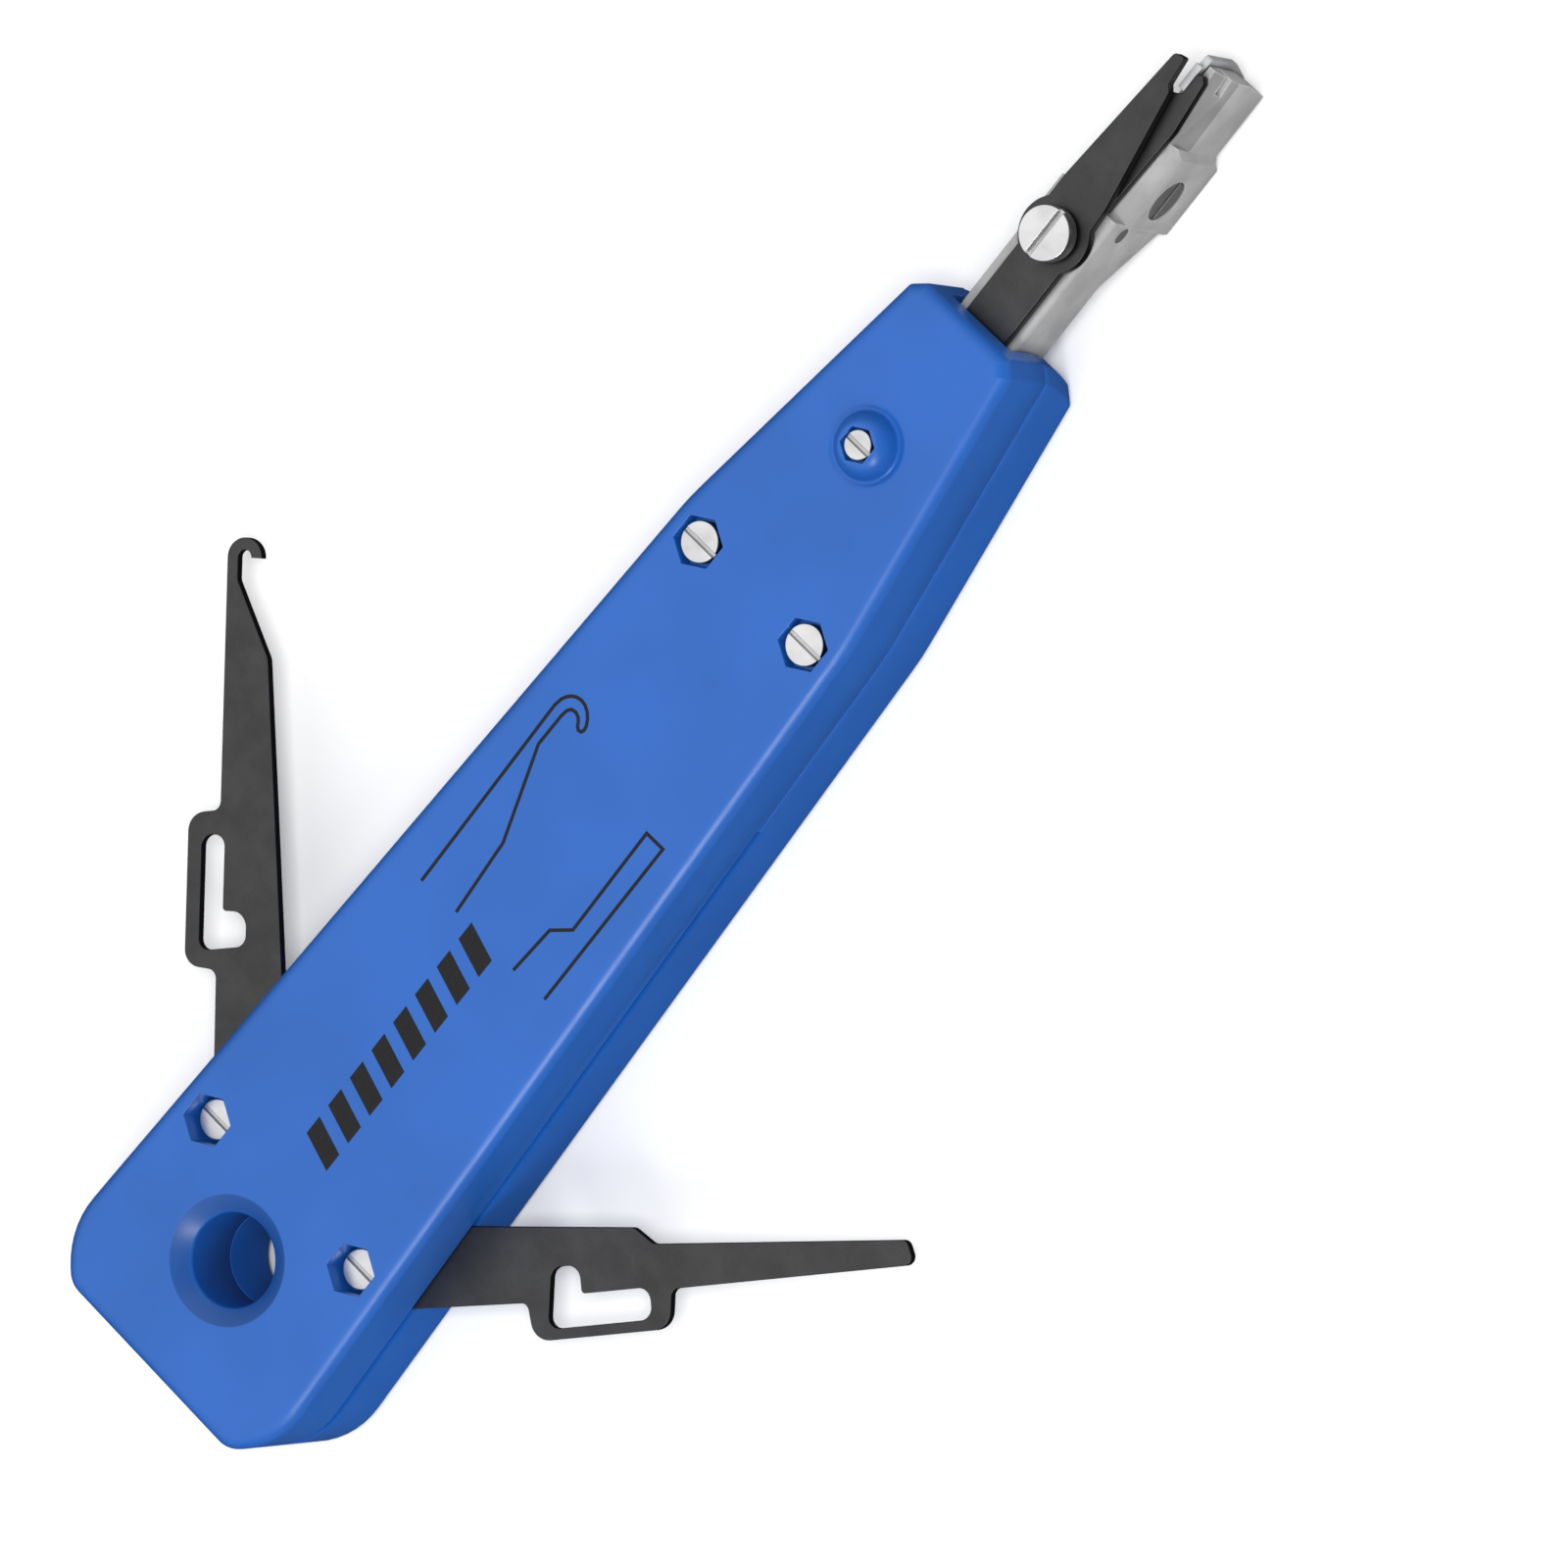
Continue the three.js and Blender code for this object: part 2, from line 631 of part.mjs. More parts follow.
function cutterLever() {
  const corners = [
    [-2.85, -31, 1.2],
    [4.6, -31, 1.2],
    [4.6, -16, 1],
    [3.0, -13.8, 1],
    [3.0, 2],
    [2.6, 5.4],
    [0.3, 18.0, 0.3],
    [-0.25, 18.6, 0.4],
    [-0.62, 21.5, 0.2],
    [-1.75, 21.25, 0.5],
    [-2.95, 5.0],
    [-2.35, 2],
    [-2.35, -12.6, 1],
    [-2.85, -14.2, 1],
  ];
  const ends = [rollerPath(0), rollerPath(SLIDE)];
  return cut(
    join(
      solid(plate(corners, LEVER.back, LEVER.front)),
      post(0, 0, LEVER.boss, LEVER.back, LEVER.front, { sides: 36 }),
    ),
    post(0, 0, LEVER_SCREW.shank + 1.5 * RUN, 0, THICK, { sides: 16 }),
    plate(camSlot(), 0, THICK),
    ...ends.map(({ x, y }) => post(x, y, ROLLER.outer + 2 * RUN, 0, THICK)),
  );
}

function leverWasher() {
  const ring = solid(post(0, PIVOT_Y, WASHER.radius, WASHER.low, WASHER.high, { sides: 24 }));
  return cut(ring, post(0, PIVOT_Y, LEVER_SCREW.shank + RUN, 0, THICK, { sides: 16 }));
}

// ---------------------------------------------------------------- spring and cam parts

class Coil extends THREE.Curve {
  getPoint(t, target = new THREE.Vector3()) {
    const angle = 2 * Math.PI * SPRING.turns * t;
    const y = THREE.MathUtils.lerp(SPRING.tail + SPRING.wire, SPRING.head - SPRING.wire, t);
    return target.set(
      SPRING.radius * Math.cos(angle),
      y,
      SPRING_Z + SPRING.radius * Math.sin(angle),
    );
  }
}

function mainSpring() {
  const wire = new THREE.Shape();
  for (let k = 0; k < 6; k += 1) {
    const angle = (k * Math.PI) / 3;
    const point = [SPRING.wire * Math.cos(angle), SPRING.wire * Math.sin(angle)];
    if (k) wire.lineTo(...point);
    else wire.moveTo(...point);
  }
  const steps = SPRING.turns * 12;
  return new THREE.ExtrudeGeometry(wire, { steps, extrudePath: new Coil(), bevelEnabled: false });
}

function guideRod() {
  return solid(longPost(0, SPRING_Z, GUIDE.radius, GUIDE.tail, ARM.tail + GUIDE.seat - 2 * RUN));
}

function backingPlate() {
  const { half, thick, y, back, front } = PLATE;
  const sheet = solid(box([-half, y - thick, back], [half, y, front]));
  return cut(sheet, longPost(0, SPRING_Z, GUIDE.radius + 3 * RUN, y - thick - PAST, y + PAST));
}

function camRoller() {
  const sleeve = solid(post(0, CAM_Y, ROLLER.outer, CHANNEL.back + RUN, MOUTH.front - RUN));
  return cut(sleeve, post(0, CAM_Y, ROLLER.inner, 0, THICK, { sides: 16 }));
}

// ---------------------------------------------------------------- materials and assembly

const material = (color, roughness, metalness) =>
  new THREE.MeshStandardMaterial({ color, roughness, metalness });

const looks = {
  plastic: () => material(0x3f70c8, 0.45, 0),
  blackSteel: () => material(0x3a3a3a, 0.5, 0.6),
  brightSteel: () => material(0xd8d8d8, 0.3, 1),
  casting: () => material(0xa6a6a6, 0.5, 0.8),
  darkSteel: () => material(0x6a6a6a, 0.45, 0.9),
};

const tool = new THREE.Group();

function place(name, shape, look, { x = 0, y = 0, angle = 0 } = {}) {
  const geometry = shape.isBufferGeometry ? shape : geometryOf(shape);
  const mesh = new THREE.Mesh(geometry, look());
  mesh.name = name;
  mesh.position.set(x, y, 0);
  mesh.rotation.z = THREE.MathUtils.degToRad(angle);
  tool.add(mesh);
}

place("front_shell", frontShell(), looks.plastic);
place("back_shell", backShell(), looks.plastic);

for (const [side, sign] of [["left", -1], ["right", 1]]) {
  const tailX = sign * TAIL_SCREW_X;
  const upperX = sign * UPPER_SCREW.x;
  const pivotScrew = slottedScrew(tailX, 0, M25, THICK - TAIL_SUNK, SCREW_TIP);
  const housingScrew = slottedScrew(upperX, UPPER_SCREW.y, M25, THICK - UPPER_SUNK, SCREW_TIP);
  place(`pivot_screw_${side}`, pivotScrew, looks.brightSteel);
  place(`pivot_nut_${side}`, hexNut(tailX, 0, M25), looks.brightSteel);
  place(`housing_screw_${side}`, housingScrew, looks.brightSteel);
  place(`housing_nut_${side}`, hexNut(upperX, UPPER_SCREW.y, M25), looks.brightSteel);
}

const camTop = THICK + DOME.rise - CAM_SUNK;
place("cam_screw", slottedScrew(0, CAM_Y, M2, camTop, SCREW_TIP), looks.brightSteel);
place("cam_nut", hexNut(0, CAM_Y, M2), looks.brightSteel);
place("cam_roller", camRoller(), looks.brightSteel);

place("hook_blade", hookBlade(), looks.blackSteel, { x: -TAIL_SCREW_X, angle: HOOK_ANGLE });
place("spudger_blade", spudgerBlade(), looks.blackSteel, { x: TAIL_SCREW_X, angle: SPUDGER_ANGLE });

place("head_casting", headCasting(), looks.casting);
place("insertion_blade", insertionBlade(), looks.brightSteel);
place("fixed_jaw", fixedJaw(), looks.blackSteel);
place("blade_screw", bladeScrew(), looks.darkSteel);
place("locating_pin", locatingPin(), looks.darkSteel);
place("cutter_lever", cutterLever(), looks.blackSteel, { y: PIVOT_Y });
place("lever_washer", leverWasher(), looks.darkSteel);
const leverTop = WASHER.high + 0.02 + LEVER_SCREW.headTall;
const leverScrew = slottedScrew(0, PIVOT_Y, LEVER_SCREW, leverTop, LEVER_SCREW.tip, "y");
place("lever_screw", leverScrew, looks.brightSteel);

place("main_spring", mainSpring(), looks.brightSteel);
place("spring_guide_rod", guideRod(), looks.brightSteel);
place("spring_backing_plate", backingPlate(), looks.brightSteel);

export default tool;
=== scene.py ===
"""The looks of a punch down tool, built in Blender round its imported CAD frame.

The tool lies on its back: +Y runs along the handle to the head, +Z leaves the printed front face
and +X is to the right seen from the front. Lengths are millimetres until a piece is finished,
which scales its mesh to metres.
"""

import math

import bmesh
import bpy
from mathutils import Matrix, Vector


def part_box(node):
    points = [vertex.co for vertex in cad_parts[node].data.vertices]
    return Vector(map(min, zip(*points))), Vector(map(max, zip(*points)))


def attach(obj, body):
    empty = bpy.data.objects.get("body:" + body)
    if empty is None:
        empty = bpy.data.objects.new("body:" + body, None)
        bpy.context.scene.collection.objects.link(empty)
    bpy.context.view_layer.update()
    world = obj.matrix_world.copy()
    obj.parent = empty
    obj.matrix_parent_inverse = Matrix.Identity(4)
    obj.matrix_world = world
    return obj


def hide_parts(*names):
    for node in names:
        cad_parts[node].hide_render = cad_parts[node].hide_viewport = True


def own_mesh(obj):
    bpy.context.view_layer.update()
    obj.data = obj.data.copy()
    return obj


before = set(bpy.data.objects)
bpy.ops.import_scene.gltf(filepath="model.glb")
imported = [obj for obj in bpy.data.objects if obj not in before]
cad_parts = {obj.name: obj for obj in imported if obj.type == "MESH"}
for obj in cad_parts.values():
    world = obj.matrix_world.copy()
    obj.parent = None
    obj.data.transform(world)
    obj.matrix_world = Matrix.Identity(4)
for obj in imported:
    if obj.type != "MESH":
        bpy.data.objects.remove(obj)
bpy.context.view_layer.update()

MM = 0.001


def mm_box(node):
    """Lowest and highest corner of a CAD node, in millimetres."""
    low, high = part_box(node)
    return low / MM, high / MM


def middle(node):
    low, high = mm_box(node)
    return (low + high) / 2


# ---------------------------------------- sizes taken from the frame

FRONT_LOW, FRONT_HIGH = mm_box("front_shell")
BACK_HIGH = mm_box("back_shell")[1]
MID = (FRONT_LOW.z + BACK_HIGH.z) / 2
SEAM = FRONT_LOW.z - MID
THICK = 2 * MID
TAIL_Y = FRONT_LOW.y
END_Y = FRONT_HIGH.y
TAIL_SCREW_X = middle("pivot_screw_right").x
UPPER_SCREW = middle("housing_screw_right")
CAM_Y = middle("cam_screw").y
PIVOT_Y = middle("lever_screw").y
CASTING_LOW, CASTING_HIGH = mm_box("head_casting")
LEVER_LOW, LEVER_HIGH = mm_box("cutter_lever")
JAW_LOW, JAW_HIGH = mm_box("fixed_jaw")
BLADE_LOW, BLADE_HIGH = mm_box("hook_blade")
HEAD_BLADE_LOW, HEAD_BLADE_HIGH = mm_box("insertion_blade")
SIDE_SCREW = middle("blade_screw")
SIDE_PIN = middle("locating_pin")
SPRING_LOW, SPRING_HIGH = mm_box("main_spring")

# ---------------------------------------- sizes of the shapes

HALF_WIDTH_0 = 15.46  # half width of the handle at y = 0
TAIL_TAPER = 0.0449  # loss of half width per mm, tail to bend
HEAD_TAPER = 0.1467  # the same, bend to head
BEND_Y = 81.7  # where the handle begins to narrow towards the head
TAIL_CORNER = {"x": 12.2, "end_round": 3, "y": -19.3, "side_round": 9.6}  # a rounded 45 degree cut
BEND_RADIUS = 30
EDGE_ROUND = 1.55  # rounding along the edges of both faces
END_CHAMFER = 1.3  # at the corners of the handle's head end
SWEEP_TOP = 11.2  # below this height the back shell's end curves back
SWEEP_RADIUS = 26
PARTING_ROUND = 0.12  # broken edges along the parting line
HOLE_Y = -8.93  # the lanyard hole
HOLE_BORE = 4.78  # its radius inside
HOLE_MOUTH = 6.63  # its radius where the flare meets the face
HOLE_SINK = 1.31  # how deep the flare goes
SLOT_END_Y = 59.7  # end of the slots that the blades fold into
SLOT_HALF = 0.65  # half their height
BIG_HEX = 2.77  # corner radius of the pockets of the tail and housing screws
SMALL_HEX = 1.91  # and of the cam screw's
HOOK_ANGLE = math.radians(129.9)  # how far the blades stand out at rest, from +X
SPUDGER_ANGLE = math.radians(47.8)
BLADE_BORE = 1.45  # radius of the hole in a folding blade's root
SLIDE = 7.5  # the head's travel
CLOSING = math.radians(5.5)  # how far the lever turns over that travel
SIDE_BORE = 1.28  # radius of the casting's hole for the blade screw
PIN_BORE = 0.91  # and for the locating pin

# ---------------------------------------- outlines


def quarter(steps):
    """Angles from 0 to 90 degrees."""
    return [math.pi / 2 * k / steps for k in range(steps + 1)]


def outline(corners, arc_step=math.radians(7)):
    """Points of a closed outline whose corners are (x, y) or (x, y, radius)."""
    points = []
    for i, (x, y, *rest) in enumerate(corners):
        corner = Vector((x, y))
        if not rest:
            points.append(corner)
            continue
        back = (Vector(corners[i - 1][:2]) - corner).normalized()
        ahead = (Vector(corners[(i + 1) % len(corners)][:2]) - corner).normalized()
        half = back.angle(ahead) / 2
        centre = corner + (back + ahead).normalized() * (rest[0] / math.sin(half))
        start = corner + back * (rest[0] / math.tan(half)) - centre
        turn = math.copysign(math.pi - 2 * half, ahead.cross(back))
        steps = max(2, math.ceil(abs(turn) / arc_step))
        for k in range(steps + 1):
            points.append(centre + Matrix.Rotation(turn * k / steps, 2) @ start)
    return points


def circle(x, y, radius, sides=64):
    turns = [2 * math.pi * k / sides for k in range(sides)]
    return [Vector((x + radius * math.cos(a), y + radius * math.sin(a))) for a in turns]


def arc(x, y, radius, start, end, steps):
    """Corners of an arc whose angles are degrees from +X."""
    turns = [math.radians(start + (end - start) * k / steps) for k in range(steps + 1)]
    return [(x + radius * math.cos(a), y + radius * math.sin(a)) for a in turns]


def hexagon(x, y, radius, corner=0.12):
    """A hexagon with slightly rounded corners, two of them on the line along Y."""
    turns = [math.radians(30 + 60 * k) for k in range(6)]
    corners = [(x + radius * math.cos(a), y + radius * math.sin(a), corner) for a in turns]
    return outline(corners, math.radians(15))


def area(points):
    return sum(points[i - 1].cross(p) for i, p in enumerate(points)) / 2


def wound(points, outer=True):
    """The outline counterclockwise, or clockwise for a hole."""
    return points if (area(points) > 0) == outer else points[::-1]


def inset(points, depth):
    """The outline moved into its material along mitred corners."""
    moved = []
    for i, point in enumerate(points):
        before = (point - points[i - 1]).normalized()
        after = (points[(i + 1) % len(points)] - point).normalized()
        first = Vector((-before.y, before.x))
        second = Vector((-after.y, after.x))
        both = first + second
        moved.append(point + both * (2 * depth / both.length_squared))
    return moved


# ---------------------------------------- surfaces


class Skin:
    """A closed surface put together from rings of points."""

    def __init__(self):
        self.mesh = bmesh.new()

    def ring(self, points, z):
        return [self.mesh.verts.new((p.x, p.y, z)) for p in points]

    def stack(self, rings):
        for low, high in zip(rings, rings[1:]):
            for i in range(len(low)):
                self.mesh.faces.new((low[i - 1], low[i], high[i], high[i - 1]))

    def cap(self, *rings):
        """A flat face inside the first ring, with the others as its holes."""
        edges = []
        for ring in rings:
            for i, vertex in enumerate(ring):
                pair = (ring[i - 1], vertex)
                edges.append(self.mesh.edges.get(pair) or self.mesh.edges.new(pair))
        bmesh.ops.triangle_fill(self.mesh, edges=edges, use_beauty=True, normal=(0, 0, 1))

    def done(self):
        bmesh.ops.recalc_face_normals(self.mesh, faces=self.mesh.faces)
        return self.mesh


SUPPORT = 0.03  # width of the flat strip that ends a rounded edge


def rounded(low, high, edge, steps=3):
    """(height, inset) of the rings up a wall whose two ends are rounded."""
    bottom = [(low + edge * (1 - math.cos(a)), edge * (1 - math.sin(a))) for a in quarter(steps)]
    top = [(low + high - z, depth) for z, depth in reversed(bottom)]
    return [(low, edge + SUPPORT), *bottom, *top, (high, edge + SUPPORT)]


def slab(outer, low, high, edge=0.1, holes=(), steps=3):
    """A plate with rounded edges, also round its holes."""
    skin = Skin()
    bottoms, tops = [], []
    for loop in [wound(outer), *(wound(hole, False) for hole in holes)]:
        rings = [skin.ring(inset(loop, depth), z) for z, depth in rounded(low, high, edge, steps)]
        skin.stack(rings)
        bottoms.append(rings[0])
        tops.append(rings[-1])
    skin.cap(*bottoms)
    skin.cap(*tops)
    return skin.done()


def block(outer, low, high):
    """A plate with sharp edges, to cut with or to cut from."""
    skin = Skin()
    rings = [skin.ring(wound(outer), z) for z in (low, high)]
    skin.stack(rings)
    skin.cap(rings[0])
    skin.cap(rings[1])
    return skin.done()


def box(low, high):
    corners = [(low[0], low[1]), (high[0], low[1]), (high[0], high[1]), (low[0], high[1])]
    return block(outline(corners), low[2], high[2])


def lathe(profile, sides=64, closed=False):
    """A solid turned about the Z axis from (radius, height) points."""
    mesh = bmesh.new()
    rings = []
    for radius, z in profile:
        if radius < 1e-6:
            rings.append([mesh.verts.new((0, 0, z))])
        else:
            rings.append([mesh.verts.new((p.x, p.y, z)) for p in circle(0, 0, radius, sides)])
    pairs = list(zip(rings, rings[1:]))
    if closed:
        pairs.append((rings[-1], rings[0]))
    for low, high in pairs:
        for i in range(sides):
            first = [low[0]] if len(low) == 1 else [low[i - 1], low[i]]
            second = [high[0]] if len(high) == 1 else [high[i], high[i - 1]]
            mesh.faces.new(first + second)
    bmesh.ops.recalc_face_normals(mesh, faces=mesh.faces)
    return mesh


def moved(mesh, matrix):
    mesh.transform(matrix)
    return mesh


def at(mesh, x=0, y=0, z=0):
    return moved(mesh, Matrix.Translation((x, y, z)))


# Columns are where the mesh's own x, y and z go.
TO_SIDE = Matrix(((0, 0, 1), (1, 0, 0), (0, 1, 0))).to_4x4()  # outline (y, z), thickness along X
TO_END = Matrix(((0, 1, 0), (0, 0, 1), (1, 0, 0))).to_4x4()  # outline (z, x), thickness along Y


def carved(mesh, cutters=(), joined=(), kept=()):
    """The solid with others joined to it, then cut to what others keep, then cut away by more."""
    target = mesh_object("carved", mesh)
    work = [("UNION", m) for m in joined]
    work += [("INTERSECT", m) for m in kept]
    work += [("DIFFERENCE", m) for m in cutters]
    tools = []
    for operation, cutter in work:
        tools.append(mesh_object("cutter", cutter))
        modifier = target.modifiers.new(operation, "BOOLEAN")
        modifier.operation = operation
        modifier.solver = "EXACT"
        modifier.object = tools[-1]
    result = bmesh.new()
    result.from_object(target, bpy.context.evaluated_depsgraph_get())
    for tool in [target, *tools]:
        bpy.data.objects.remove(tool)
    bmesh.ops.remove_doubles(result, verts=result.verts, dist=1e-4)
    return result


def mesh_object(name, mesh):
    data = bpy.data.meshes.new(name)
    mesh.to_mesh(data)
    mesh.free()
    made = bpy.data.objects.new(name, data)
    bpy.context.scene.collection.objects.link(made)
    return made


def softened(mesh, width):
    """The solid with its sharp edges rounded."""
    target = mesh_object("softened", mesh)
    modifier = target.modifiers.new("round", "BEVEL")
    modifier.width = width
    modifier.segments = 2
    modifier.limit_method = "ANGLE"
    modifier.angle_limit = math.radians(35)
    modifier.miter_outer = "MITER_ARC"
    result = bmesh.new()
    result.from_object(target, bpy.context.evaluated_depsgraph_get())
    bpy.data.objects.remove(target)
    return result


def piece(name, mesh, body, material, node=None):
    """A finished piece in metres that rides on a body and may stand for a CAD node."""
    made = mesh_object(name, moved(mesh, Matrix.Scale(MM, 4)))
    made.data.shade_smooth()
    made.data.set_sharp_from_angle(angle=math.radians(32))
    made.data.materials.append(material)
    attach(made, body)
    if node:
        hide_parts(node)
    return made


# ---------------------------------------- materials


def add(tree, kind, inputs=(), **settings):
    """A node with its settings, whose inputs take a value or another node's output."""
    made = tree.nodes.new(kind)
    for name, value in settings.items():
        setattr(made, name, value)
    for name, value in dict(inputs).items():
        if isinstance(value, bpy.types.NodeSocket):
            tree.links.new(value, made.inputs[name])
        else:
            made.inputs[name].default_value = value
    return made


def new_material(name):
    material = bpy.data.materials.new(name)
    material.use_nodes = True
    tree = material.node_tree
    shader = tree.nodes["Principled BSDF"]
    place = add(tree, "ShaderNodeTexCoord").outputs["Object"]
    scaled = add(tree, "ShaderNodeVectorMath", {0: place, "Scale": 1 / MM}, operation="SCALE")
    return material, tree, shader, scaled.outputs[0]


def noise(tree, place, scale, detail=2.0, roughness=0.5, stretch=None):
    """Noise from 0 to 1 with a scale in features per millimetre."""
    if stretch:
        place = add(tree, "ShaderNodeMapping", {"Vector": place, "Scale": stretch}).outputs[0]
    inputs = {"Vector": place, "Scale": scale, "Detail": detail, "Roughness": roughness}
    return add(tree, "ShaderNodeTexNoise", inputs).outputs["Fac"]


def combined(tree, operation, first, second):
    """Two numbers put together by an operation such as ADD."""
    return add(tree, "ShaderNodeMath", {0: first, 1: second}, operation=operation).outputs[0]


def vector(tree, operation, first, second=None, output="Vector"):
    """The outcome of a vector operation."""
    inputs = {0: first} if second is None else {0: first, 1: second}
    return add(tree, "ShaderNodeVectorMath", inputs, operation=operation).outputs[output]


def spread(tree, value, low, high, start=0.0, end=1.0):
    """The value between start and end, stretched to run from low to high."""
    inputs = {"Value": value, "From Min": start, "From Max": end, "To Min": low, "To Max": high}
    return add(tree, "ShaderNodeMapRange", inputs).outputs[0]


def mixed(tree, share, first, second):
    """A colour between two others."""
    made = add(tree, "ShaderNodeMix", data_type="RGBA")
    for number, value in ((0, share), (6, first), (7, second)):
        socket = made.inputs[number]
        if isinstance(value, bpy.types.NodeSocket):
            tree.links.new(value, socket)
        else:
            socket.default_value = value
    return made.outputs[2]


def worn_edges(tree, place, width, reach=0.5):
    """1 along worn edges, 0 elsewhere: how far the rounded normal leans from the true one."""
    soft = add(tree, "ShaderNodeBevel", {"Radius": width * MM}, samples=6).outputs[0]
    true = add(tree, "ShaderNodeNewGeometry").outputs["Normal"]
    lean = vector(tree, "DOT_PRODUCT", soft, true, "Value")
    edge = spread(tree, lean, 1.0, 0.0, 1 - 0.25 * reach, 1.0)
    patchy = spread(tree, noise(tree, place, 0.9, 4.0, 0.6), 0.15, 1.0, 0.35, 0.65)
    return combined(tree, "MULTIPLY", edge, patchy)


def bumped(tree, shader, *layers):
    """Bump layers, each a height, a strength and a depth in millimetres."""
    normal = None
    for height, strength, depth in layers:
        inputs = {"Height": height, "Strength": strength, "Distance": depth * MM}
        if normal:
            inputs["Normal"] = normal
        normal = add(tree, "ShaderNodeBump", inputs).outputs[0]
    tree.links.new(normal, shader.inputs["Normal"])


def colour(red, green, blue):
    """A linear colour from the 0 to 255 values that a screen shows."""
    def linear(value):
        value /= 255
        return value / 12.92 if value <= 0.04045 else ((value + 0.055) / 1.055) ** 2.4
    return (linear(red), linear(green), linear(blue), 1.0)


def shaded(base, share, lift=0.0):
    """A colour made lighter or darker by a share."""
    return tuple(min(1, c * share + lift) for c in base[:3]) + (1,)


def clouded(tree, cloud, base, low, high):
    """The base colour, cloudy between two shares of it."""
    share = spread(tree, cloud, 0, 1, 0.35, 0.65)
    return mixed(tree, share, shaded(base, low), shaded(base, high))


def flare_shade_mask(tree, place):
    """1 on the lanyard hole's flare, which gets painted shade, 0 elsewhere."""
    from_hole = vector(tree, "SUBTRACT", place, (0, HOLE_Y, 0))
    away = vector(tree, "LENGTH", vector(tree, "MULTIPLY", from_hole, (1, 1, 0)), output="Value")
    inside = spread(tree, away, 1.0, 0.0, HOLE_MOUTH - 0.02, HOLE_MOUTH + 0.04)
    outside = spread(tree, away, 0.0, 1.0, HOLE_BORE + 0.02, HOLE_BORE + 0.3)
    return combined(tree, "MULTIPLY", inside, outside)


def moulded_plastic(name, base):
    """Satin moulded plastic: fine spark-eroded grain, slight sink waves, rubbed edges and painted
    shade on the lanyard hole's flare.
    """
    material, tree, shader, place = new_material(name)
    cloud = noise(tree, place, 0.06, 3.0)
    body = clouded(tree, cloud, base, 0.94, 1.07)
    # Painted shade: the lanyard hole's flare is darkened to two thirds of the base colour.
    body = mixed(tree, flare_shade_mask(tree, place), body, shaded(base, 0.66))
    edge_share = combined(tree, "MULTIPLY", worn_edges(tree, place, 0.5), 0.35)
    body = mixed(tree, edge_share, body, shaded(base, 1.2, 0.02))
    tree.links.new(body, shader.inputs["Base Color"])
    handled = noise(tree, place, 0.22, 5.0, 0.65)
    scuffs = noise(tree, place, 1.0, 3.0, 0.6, stretch=(3.0, 0.25, 3.0))
    rough = spread(tree, handled, 0.29, 0.35, 0.3, 0.7)
    scuffed = spread(tree, scuffs, 0.0, 0.08, 0.55, 0.75)
    tree.links.new(combined(tree, "ADD", rough, scuffed), shader.inputs["Roughness"])
    grain = noise(tree, place, 3.0, 2.0)
    wave = noise(tree, place, 0.05, 1.0)
    bumped(tree, shader, (wave, 0.25, 0.12), (grain, 0.08, 0.012))
    shader.inputs["Specular IOR Level"].default_value = 0.55
    return material


def metal(name, base, rough, grain, wear=None, wear_width=0.2, spots=0.0, metallic=1.0):
    """Metal with a clouded finish, worn edges and painted shade darkening its corners.

    The grain is its scale, stretch, strength and depth in millimetres.
    """
    material, tree, shader, place = new_material(name)
    shader.inputs["Metallic"].default_value = metallic
    cloud = noise(tree, place, 0.25, 4.0, 0.6)
    body = clouded(tree, cloud, base, 0.88, 1.08)
    if spots:
        speck = spread(tree, noise(tree, place, 3.0, 2.0, 0.7), 0, spots, 0.58, 0.75)
        body = mixed(tree, speck, body, shaded(base, 0.5))
    if wear:
        body = mixed(tree, worn_edges(tree, place, wear_width), body, wear)
    # Painted shade: the colour darkens towards a third of the base where ambient occlusion finds
    # nearby surfaces, in corners, slots and beside other parts.
    open_sky = add(tree, "ShaderNodeAmbientOcclusion", {"Distance": 0.8 * MM}, samples=16)
    painted_shade = spread(tree, open_sky.outputs["AO"], 0.95, 0.0, 0.3, 0.85)
    body = mixed(tree, painted_shade, body, shaded(base, 0.35))
    tree.links.new(body, shader.inputs["Base Color"])
    smear = noise(tree, place, 0.6, 5.0, 0.65)
    smeared = spread(tree, smear, rough - 0.03, rough + 0.06, 0.3, 0.7)
    tree.links.new(smeared, shader.inputs["Roughness"])
    scale, stretch, strength, depth = grain
    fine = noise(tree, place, scale, 3.0, 0.6, stretch=stretch)
    bumped(tree, shader, (cloud, 0.1, 0.02), (fine, strength, depth))
    return material


def printing_ink():
    material, tree, shader, place = new_material("printing_ink")
    flecks = spread(tree, noise(tree, place, 4.0, 3.0), 0, 1, 0.6, 0.75)
    body = mixed(tree, flecks, colour(22, 22, 24), colour(40, 42, 48))
    tree.links.new(body, shader.inputs["Base Color"])
    tree.links.new(spread(tree, noise(tree, place, 1.0), 0.45, 0.6), shader.inputs["Roughness"])
    shader.inputs["Specular IOR Level"].default_value = 0.3
    bumped(tree, shader, (noise(tree, place, 6.0), 0.2, 0.01))
    return material


def floor_paint():
    material, tree, shader, place = new_material("floor_paint")
    cloud = spread(tree, noise(tree, place, 0.004, 3.0), 0, 1, 0.3, 0.7)
    body = mixed(tree, cloud, (0.93, 0.93, 0.93, 1), (0.95, 0.95, 0.95, 1))
    tree.links.new(body, shader.inputs["Base Color"])
    shader.inputs["Roughness"].default_value = 0.85
    shader.inputs["Specular IOR Level"].default_value = 0.1
    return material


